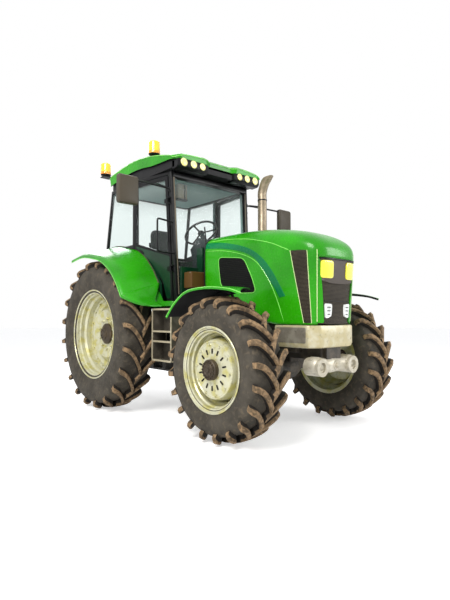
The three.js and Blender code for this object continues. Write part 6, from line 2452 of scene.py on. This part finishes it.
# ---------------------------------------------------------------- fittings
@dataclass
class Beacon:
    """A warning beacon: a ribbed amber lens on a dark base, over a stub or a bracket."""

    node: str
    foot: tuple[float, float, float]

    def build(self) -> None:
        """The lens, its darker skirt and its base, turned about the upright."""
        at = Layout.at(*self.foot)
        up = (0, 0, 1)
        base = [(0.001, 0.0), (0.036, 0.0), (0.036, 0.014), (0.064, 0.018), (0.068, 0.022), (0.068, 0.030),
                (0.001, 0.030)]
        skirt = [(0.001, 0.030), (0.0725, 0.030), (0.0735, 0.036), (0.0725, 0.062), (0.001, 0.062)]
        turn = np.linspace(0, 1, 10) * math.pi / 2
        dome = np.stack([0.052 + 0.018 * np.cos(turn), 0.166 + 0.018 * np.sin(turn)], 1)
        lens = np.vstack([[(0.001, 0.062), (0.0715, 0.062), (0.0720, 0.066)], dome, [(0.001, 0.1855)]])
        body = Shell().lathe(base, at, up, 36)
        if self.node == "beacon_front":
            body.lathe([(0.001, -0.050), (0.030, -0.050), (0.030, 0.001), (0.001, 0.001)], at, up, 24)
        else:
            x, y, z = self.foot
            body.block((x - 0.060, 2.627, z - 0.014), (-0.600, y + 0.050, z), 0.006)
            body.block((-0.622, 2.627, 3.012), (-0.600, 2.652, z - 0.004), 0.005)
        fitted(f"{self.node}_base", body, "black_plastic", Look.BLACK)
        fitted(f"{self.node}_skirt", Shell().lathe(skirt, at, up, 36), "beacon_amber", Look.DEEP_AMBER)
        fitted(f"{self.node}_lens", Shell().lathe(lens, at, up, 36), "beacon_amber", Look.AMBER, replaces=self.node)


@dataclass
class Exhaust:
    """The upright exhaust: inlet bend, silencer, heat shield, clamp and a swept tip cut on a slant."""

    x: float = 0.500
    y: float = 0.812
    inlet_y: float = 0.962
    inlet_z: float = 1.490
    radius: float = 0.056
    top: float = 2.912

    def build(self) -> None:
        """The pipes as sweeps and lathes, then the clamp and the shield."""
        x, y, z, top = self.x, self.y, self.inlet_z, self.top
        shell = Shell()
        inlet = spline([(0.2315, self.inlet_y, z), (x - 0.13, self.inlet_y, z),
                        (x - 0.042, self.inlet_y - 0.032, z + 0.022), (x, y + 0.038, z + 0.080),
                        (x, y, z + 0.190)], 40)
        shell.sweep(Layout.shifted(inlet), circle(0.044, 24), (0.3, 0.9, 0.1))
        low = z + 0.160
        silencer = [(0.050, low - 0.010), (0.066, low), (0.077, low + 0.025), (0.077, top - 0.875),
                    (0.066, top - 0.845), (self.radius, top - 0.825), (self.radius, top - 0.302),
                    (self.radius - 0.012, top - 0.302), (self.radius - 0.012, low - 0.010)]
        shell.lathe(silencer, Layout.at(x, y, 0), (0, 0, 1), 48, wrap=True)
        line = spline([(x, y, top - 0.304), (x, y, top - 0.212), (x + 0.004, y - 0.034, top - 0.112),
                       (x + 0.009, y - 0.088, top - 0.034)], 30)
        shell = self.tip(shell, Layout.shifted(line))
        fitted("exhaust_pipe", shell, "exhaust_tan", Look.TAN, replaces="exhaust_stack")
        clamp = Shell()
        ring = np.array([(self.radius - 0.002, -0.007), (self.radius + 0.0035, -0.007),
                         (self.radius + 0.0035, 0.007), (self.radius - 0.002, 0.007)])
        clamp.lathe(ring, Layout.at(x, y, top - 0.308), (0, 0, 1), 48, wrap=True)
        clamp.lathe(ring + (0.018, 0), Layout.at(x, y, low + 0.03), (0, 0, 1), 48, wrap=True)
        fitted("exhaust_clamps", clamp, "black_metal", Look.SATIN)

    def tip(self, shell: Shell, path: Array) -> Shell:
        """A tube of round section whose end is sheared: each ring leans from level towards the slant.

        Args:
            shell: what takes the faces.
            path: its centre line.

        Returns:
            The shell.
        """
        ahead = unit(np.gradient(path, axis=0))
        side = np.array([1.0, 0, 0])
        top = np.cross(ahead, side)
        turn = np.arange(32) * TAU / 32
        share = np.linspace(0, 1, len(path))[:, None, None]
        rings = []
        for radius in (self.radius, self.radius - 0.008):
            ring = path[:, None] + radius * (np.cos(turn)[None, :, None] * side + np.sin(turn)[None, :, None]
                                             * top[:, None])
            lean = (np.sin(turn)[None, :, None]) * ahead[:, None] * share**3 * 0.055
            rings.append(ring - lean)
        grid = np.concatenate([rings[0], rings[1][::-1]])
        return shell.grid(grid, wrap_u=True, wrap_v=True)


@dataclass
class Mirror:
    """A door mirror: a deep rounded housing on two arms, with its glass facing the rear."""

    side: Side
    inner: float = 1.120
    outer: float = 1.362
    y: float = 1.100
    low: float = 2.335
    high: float = 2.640
    arm_z: float = 2.630

    def build(self) -> None:
        """The housing, the glass in its bezel and the arms."""
        s, name = self.side.value, self.side.label
        mid = np.array([(self.inner + self.outer) / 2, (self.low + self.high) / 2])
        half = np.array([(self.outer - self.inner) / 2, (self.high - self.low) / 2])
        levels = [(0.030, -0.033), (0.010, -0.026), (0.000, -0.010), (0.000, 0.026), (0.006, 0.033)]
        rings = []
        for inset, depth in levels:
            ring = rounded_rect(half[0] - inset, half[1] - inset, 0.028, 6) + mid
            rings.append(np.stack([s * ring[:, 0], np.full(len(ring), self.y + depth), ring[:, 1]], 1))
        grid = Layout.shifted(np.stack(rings))
        case = Shell().tube(grid)
        fitted(f"mirror_case_{name}", case, "black_plastic", Look.MIRROR_CASE, replaces=f"mirror_{name}")
        ring = rounded_rect(half[0] - 0.016, half[1] - 0.016, 0.020, 6) + mid
        face = [np.stack([s * ring[:, 0], np.full(len(ring), self.y + d), ring[:, 1]], 1) for d in (0.030, 0.0345)]
        grid = Layout.shifted(np.stack(face))
        glass = Shell().tube(grid)
        fitted(f"mirror_face_{name}", glass, "glass", Look.MIRROR)
        arm = Shell()
        root = (s * 0.616, 1.2275)
        path = bent_path([(root[0], root[1], self.arm_z), (s * 0.70, 1.20, self.arm_z),
                          (s * (self.inner + 0.03), self.y, self.arm_z - 0.024)], 0.05, 5)
        arm.sweep(Layout.run(path, 0.03), circle(0.0115, 12), (0, 0.2, 1))
        hook = [(s * 0.66, 1.212, self.arm_z + 0.01), (s * 0.86, 1.165, self.arm_z + 0.016)]
        arm.sweep(Layout.run(hook, 0.03), circle(0.006, 10), (0, 0.2, 1))
        arm.block((s * 0.6165, root[1] - 0.020, self.arm_z - 0.022),
                  (s * 0.631, root[1] + 0.020, self.arm_z + 0.022), 0.004)
        fitted(f"mirror_arm_{name}", arm, "black_metal", Look.SATIN)


@dataclass
class Steps:
    """A step ladder below the door: two pale stringers, four dark ribbed treads and their risers."""

    side: Side
    inner: float = 0.6605
    outer: float = 0.862
    front: float = 0.846
    rear: float = 1.222
    low: float = 0.655
    high: float = 1.232
    treads: tuple[float, ...] = (0.0, 0.207, 0.317, 0.559)

    def build(self) -> None:
        """The stringers, treads with raised grips, and the backing plates."""
        s, name = self.side.value, self.side.label
        rails, plates = Shell(), Shell()
        for y in (self.front + 0.006, self.rear - 0.006):
            inset = 0.008
            corners = [(s * (self.inner + inset), y, self.low + inset),
                       (s * (self.outer - inset), y, self.low + inset),
                       (s * (self.outer - inset), y, self.high - inset),
                       (s * (self.inner + inset), y, self.high - inset)]
            outline = rounded_polygon(np.array(corners), 0.02, 4)
            rails.sweep(Layout.shifted(outline), rounded_rect(0.006, 0.008, 0.002, 3), (0, 1, 0), closed=True)
            plates.block((s * (self.inner + 0.012), y - 0.003, self.low + 0.012),
                         (s * (self.outer - 0.012), y + 0.003, self.high - 0.012), 0.002)
        for rise in self.treads:
            z = self.low + rise
            rails.block((s * (self.outer - 0.010), self.front + 0.006, z + 0.000),
                        (s * (self.outer - 0.001), self.rear - 0.006, z + 0.020), 0.003)
            plates.block((s * (self.inner + 0.006), self.front + 0.010, z + 0.002),
                         (s * (self.outer - 0.010), self.rear - 0.010, z + 0.013), 0.003)
            x = np.linspace(self.inner + 0.025, self.outer - 0.025, 6)
            y = np.linspace(self.front + 0.03, self.rear - 0.03, 13)
            grips = np.stack(np.meshgrid(s * x, y, [z + 0.013], indexing="ij"), -1).reshape(-1, 3)
            plates.bolts(Layout.shifted(grips), (0, 0, 1), 0.006, 0.004, sides=6)
        for low, high in ((0.0, 0.207), (0.317, 0.559)):
            plates.block((s * 0.694, self.front + 0.008, self.low + low + 0.004),
                         (s * 0.706, self.rear - 0.008, self.low + high + 0.012), 0.003)
        fitted(f"step_rails_{name}", rails, "cast_silver", Look.STEP, replaces=f"steps_{name}")
        fitted(f"step_treads_{name}", plates, "cast_dark", Look.PLATE)


# -------------------------------------------------------------------- seat
@dataclass
class Cushion:
    """A padded cushion: a crowned block whose sides pull in between its corners, then puffed as cloth.

    The block is a rounded rectangle in plan; its crown rises by a cosine from the rim to the middle.
    """

    node: str
    inset: float = 0.016
    crown: float = 0.020
    cap: float = 0.012
    lean: float = 0.0

    def form(self) -> Shell:
        """A closed grid on a rounded box, squashed towards a superellipsoid of power 4.

        Returns:
            The form.
        """
        box = Box.of(self.node)
        half = box.size / 2 - self.inset
        half[1] -= abs(self.lean) * half[2]
        count = 40
        a, b = np.meshgrid(np.linspace(-1, 1, count) * math.pi / 2, np.arange(2 * count) * math.pi / count,
                           indexing="ij")

        def power(v: Array, p: float) -> Array:
            """A signed power."""
            return np.sign(v) * np.abs(v) ** p

        flat, wide = 0.34, 0.42
        x = power(np.cos(a), flat) * power(np.cos(b), wide)
        y = power(np.cos(a), flat) * power(np.sin(b), wide)
        z = power(np.sin(a), flat)
        pull = 1 - 0.035 * (1 - np.abs(x) ** 6) * (np.abs(y) > 0.6)
        points = np.stack([x * half[0], y * half[1] * pull, z * half[2]], -1)
        points[..., 1] += self.lean * points[..., 2]
        return Shell().grid(points + box.mid, wrap_v=True)

    def build(self) -> None:
        """Puffs the form, smooths it and mounts it in place of the node."""
        pad = mesh_object(self.node + "_pad", self.form(), [Look.SEAT], Edge.SMOOTH)
        self.puff(pad)
        for polygon in pad.data.polygons:
            polygon.use_smooth = True
        smooth = pad.modifiers.new("soft", "SUBSURF")
        smooth.levels = smooth.render_levels = 1
        body = frame["nodes"][self.node]["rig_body"]
        mounted(pad, body, self.node)

    def puff(self, pad: Object) -> None:
        """Blows the pad up as cloth for 20 frames, and caps how far each point may move.

        Args:
            pad: the pad's object.
        """
        remesh = pad.modifiers.new("cells", "REMESH")
        remesh.mode = "VOXEL"
        remesh.voxel_size = 0.008
        self.settle(pad)
        start = np.empty(3 * len(pad.data.vertices))
        pad.data.vertices.foreach_get("co", start)
        cloth = pad.modifiers.new("cloth", "CLOTH")
        cloth.settings.use_pressure = True
        cloth.settings.uniform_pressure_force = 4
        cloth.settings.effector_weights.gravity = 0
        scene = bpy.context.scene
        for number in range(1, 21):
            scene.frame_set(number)
        self.settle(pad)
        scene.frame_set(1)
        end = np.empty_like(start)
        pad.data.vertices.foreach_get("co", end)
        move = (end - start).reshape(-1, 3)
        length = np.linalg.norm(move, axis=1)[:, None]
        capped = start.reshape(-1, 3) + move * np.minimum(1, self.cap / np.maximum(length, 1e-9))
        pad.data.vertices.foreach_set("co", capped.reshape(-1))
        pad.data.update()

    def settle(self, pad: Object) -> None:
        """Applies the pad's modifiers by taking its evaluated mesh.

        Args:
            pad: the pad's object.
        """
        graph = bpy.context.evaluated_depsgraph_get()
        made = bpy.data.meshes.new_from_object(pad.evaluated_get(graph))
        pad.modifiers.clear()
        pad.data = made


@dataclass
class Helm:
    """The steering wheel: a thick rim on three spokes and a domed hub, tilted towards the seat."""

    centre: tuple[float, float, float] = (0.0, 1.425, 2.215)
    radius: float = 0.208
    tilt: float = 0.62

    def build(self) -> None:
        """The rim, spokes and hub, all about the column's axis."""
        axis = np.array([0, math.sin(self.tilt), math.cos(self.tilt)])
        u = np.array([1.0, 0, 0])
        v = np.cross(axis, u)
        at = Layout.at(*self.centre)
        shell = Shell()
        turn = np.arange(64) * TAU / 64
        ring = at + self.radius * (np.cos(turn)[:, None] * u + np.sin(turn)[:, None] * v)
        shell.sweep(ring, circle(0.0135, 14), tuple(axis), closed=True)
        hub = [(0.001, 0.022), (0.020, 0.021), (0.036, 0.014), (0.043, 0.002), (0.040, -0.020), (0.001, -0.0215)]
        shell.lathe(hub, at, axis, 36)
        for angle in (math.pi / 2, math.pi * 7 / 6, math.pi * 11 / 6):
            out = math.cos(angle) * u + math.sin(angle) * v
            line = at + np.array([0.034, 0.08, 0.14, self.radius - 0.006])[:, None] * out - axis * 0.003
            shell.sweep(line, rounded_rect(0.013, 0.0055, 0.004, 4), tuple(axis),
                        scale=np.array([1.1, 0.85, 0.85, 1.0]))
        fitted("helm", shell, "black_plastic", Look.SATIN, replaces="steering_wheel")
        self.dials()

    def dials(self) -> None:
        """Two short stalks ahead of the wheel, two control levers by the seat and the side console."""
        shell = Shell()
        for x in (-0.075, 0.075):
            line = [(x, 1.27, 2.090), (x * 1.1, 1.262, 2.150)]
            shell.sweep(Layout.run(line, 0.03), circle(0.010, 10), (0, 1, 0))
        for y in (1.86, 1.93):
            line = [(-0.33, y, 1.56), (-0.335, y - 0.03, 1.80), (-0.335, y - 0.035, 1.84)]
            shell.sweep(Layout.shifted(line), circle(0.009, 12), (0, 1, 0.2), scale=np.array([1, 1, 2.2]))
        shell.block((-0.46, 1.72, 1.2815), (-0.29, 2.30, 1.575), 0.03)
        fitted("side_console", shell, "black_plastic", Look.BLACK)


# ------------------------------------------------------------------- studio
@dataclass(frozen=True)
class Studio:
    """A pale floor, soft lamps and the camera, all at the tractor's own scale."""

    eye: tuple[float, float, float] = (-3.666, -4.583, 1.155)
    yaw: float = math.radians(41.42)
    pitch: float = math.radians(1.94)
    focal: float = 27.66
    white: Colour = (1.0, 1.0, 1.0)

    def camera(self) -> None:
        """A level camera that looks along its yaw, a little upwards."""
        lens = bpy.data.cameras.new("camera")
        lens.lens = self.focal
        lens.sensor_width = 36
        lens.clip_end = 200
        seen = bpy.data.objects.new("camera", lens)
        seen.location = self.eye
        ahead = Vector((math.sin(self.yaw) * math.cos(self.pitch), math.cos(self.yaw) * math.cos(self.pitch),
                        math.sin(self.pitch)))
        seen.rotation_euler = ahead.to_track_quat("-Z", "Y").to_euler()
        bpy.context.scene.collection.objects.link(seen)
        bpy.context.scene.camera = seen

    def paper(self, g: Nodes) -> Socket:
        """How much of a ray is the camera's own, a reflection's or a glass's: these see white paper.

        Args:
            g: the nodes that use it.

        Returns:
            That share of the ray.
        """
        path = g.node("LightPath")
        seen = g.math("MAXIMUM", path.outputs["Is Camera Ray"], path.outputs["Is Glossy Ray"])
        return g.math("MAXIMUM", seen, path.outputs["Is Transmission Ray"])

    def floor(self) -> None:
        """A broad round floor whose white fades into the backdrop but keeps the shadow."""
        g = Graph("studio_floor")
        tone = g.mix(g.noise(0.7, 2), (0.88, 0.88, 0.88), (0.93, 0.93, 0.93))
        material = g.surface(Base_Color=tone, Roughness=0.75, Emission_Color=self.white,
                             Emission_Strength=g.math("MULTIPLY", self.paper(g), 0.5))
        sheet = Shell().lathe([(0.001, 0.0), (4, 0), (12, 0), (40, 0)], (0, 0, 0), (0, 0, 1), 64)
        mesh = bpy.data.meshes.new("floor")
        mesh.from_pydata(np.concatenate(sheet.points), [], np.concatenate(sheet.faces).tolist())
        mesh.materials.append(material)
        ground = bpy.data.objects.new("floor", mesh)
        bpy.context.scene.collection.objects.link(ground)

    def world(self) -> None:
        """White paper behind the tractor, and a gentle even light for everything else."""
        made = bpy.data.worlds.new("studio")
        g = Nodes(made)
        plain = g.node("Background", Color=(0.95, 0.97, 1.0), Strength=0.46)
        white = g.node("Background", Color=self.white, Strength=1.0)
        g.node("OutputWorld", Surface=g.blend(self.paper(g), plain, white))
        bpy.context.scene.world = made

    def lamp(self, name: str, place: Sequence[float], aim: Sequence[float], size: float, power: float,
             colour: Colour = (1, 1, 1)) -> None:
        """A square soft box that faces a point.

        Args:
            name: its name.
            place: where it stands.
            aim: the point it faces.
            size: its side.
            power: its power, in watts.
            colour: the colour of its light.
        """
        light = bpy.data.lights.new(name, "AREA")
        light.size = size
        light.energy = power
        light.color = colour
        held = bpy.data.objects.new(name, light)
        held.location = place
        held.rotation_euler = (Vector(aim) - Vector(place)).to_track_quat("-Z", "Y").to_euler()
        bpy.context.scene.collection.objects.link(held)

    def build(self) -> None:
        """Sets the colour view, camera, floor, world and three soft boxes."""
        bpy.context.scene.view_settings.view_transform = "Standard"
        self.camera()
        self.floor()
        self.world()
        self.lamp("key", (-5.5, -3.0, 6.0), (0, -0.3, 1.4), 3.0, 520, (1.0, 0.98, 0.95))
        self.lamp("fill", (4.5, -6.5, 3.5), (0, -0.5, 1.3), 3.0, 210)
        self.lamp("back", (2.5, 6.0, 5.5), (0, 0.5, 1.6), 4.0, 220)
        LOG.info("studio: floor, world, camera and three soft boxes")


def main() -> None:
    """Builds the studio and then each sub-assembly, in order."""
    logging.basicConfig(level=logging.INFO, format="%(name)s: %(message)s")
    Studio().build()
    for side in Side:
        FrontWheel("front", side, lug_height=0.064, bead=0.364, rim_edge=0.392, rim_half=0.170, hub_out=0.205).build()
        RearWheel("rear", side, lug_height=0.066, bead=0.524, rim_edge=0.552, rim_half=0.179, hub_out=0.045).build()
    Hood().build()
    for side in Side:
        for part in (FrontFender, RearFender, Door, Mirror, Steps):
            part(side).build()
    Bumper().build()
    CrossTube().build()
    for row in running_gear():
        row.build()
    Cab().build()
    Roof().build()
    Beacon("beacon_front", (-0.590, 1.610, 3.122)).build()
    Beacon("beacon_rear", (-0.690, 2.691, 3.092)).build()
    Exhaust().build()
    Cushion("seat_cushion").build()
    Cushion("seat_back", lean=0.12).build()
    Helm().build()


if __name__ == "__main__":
    main()
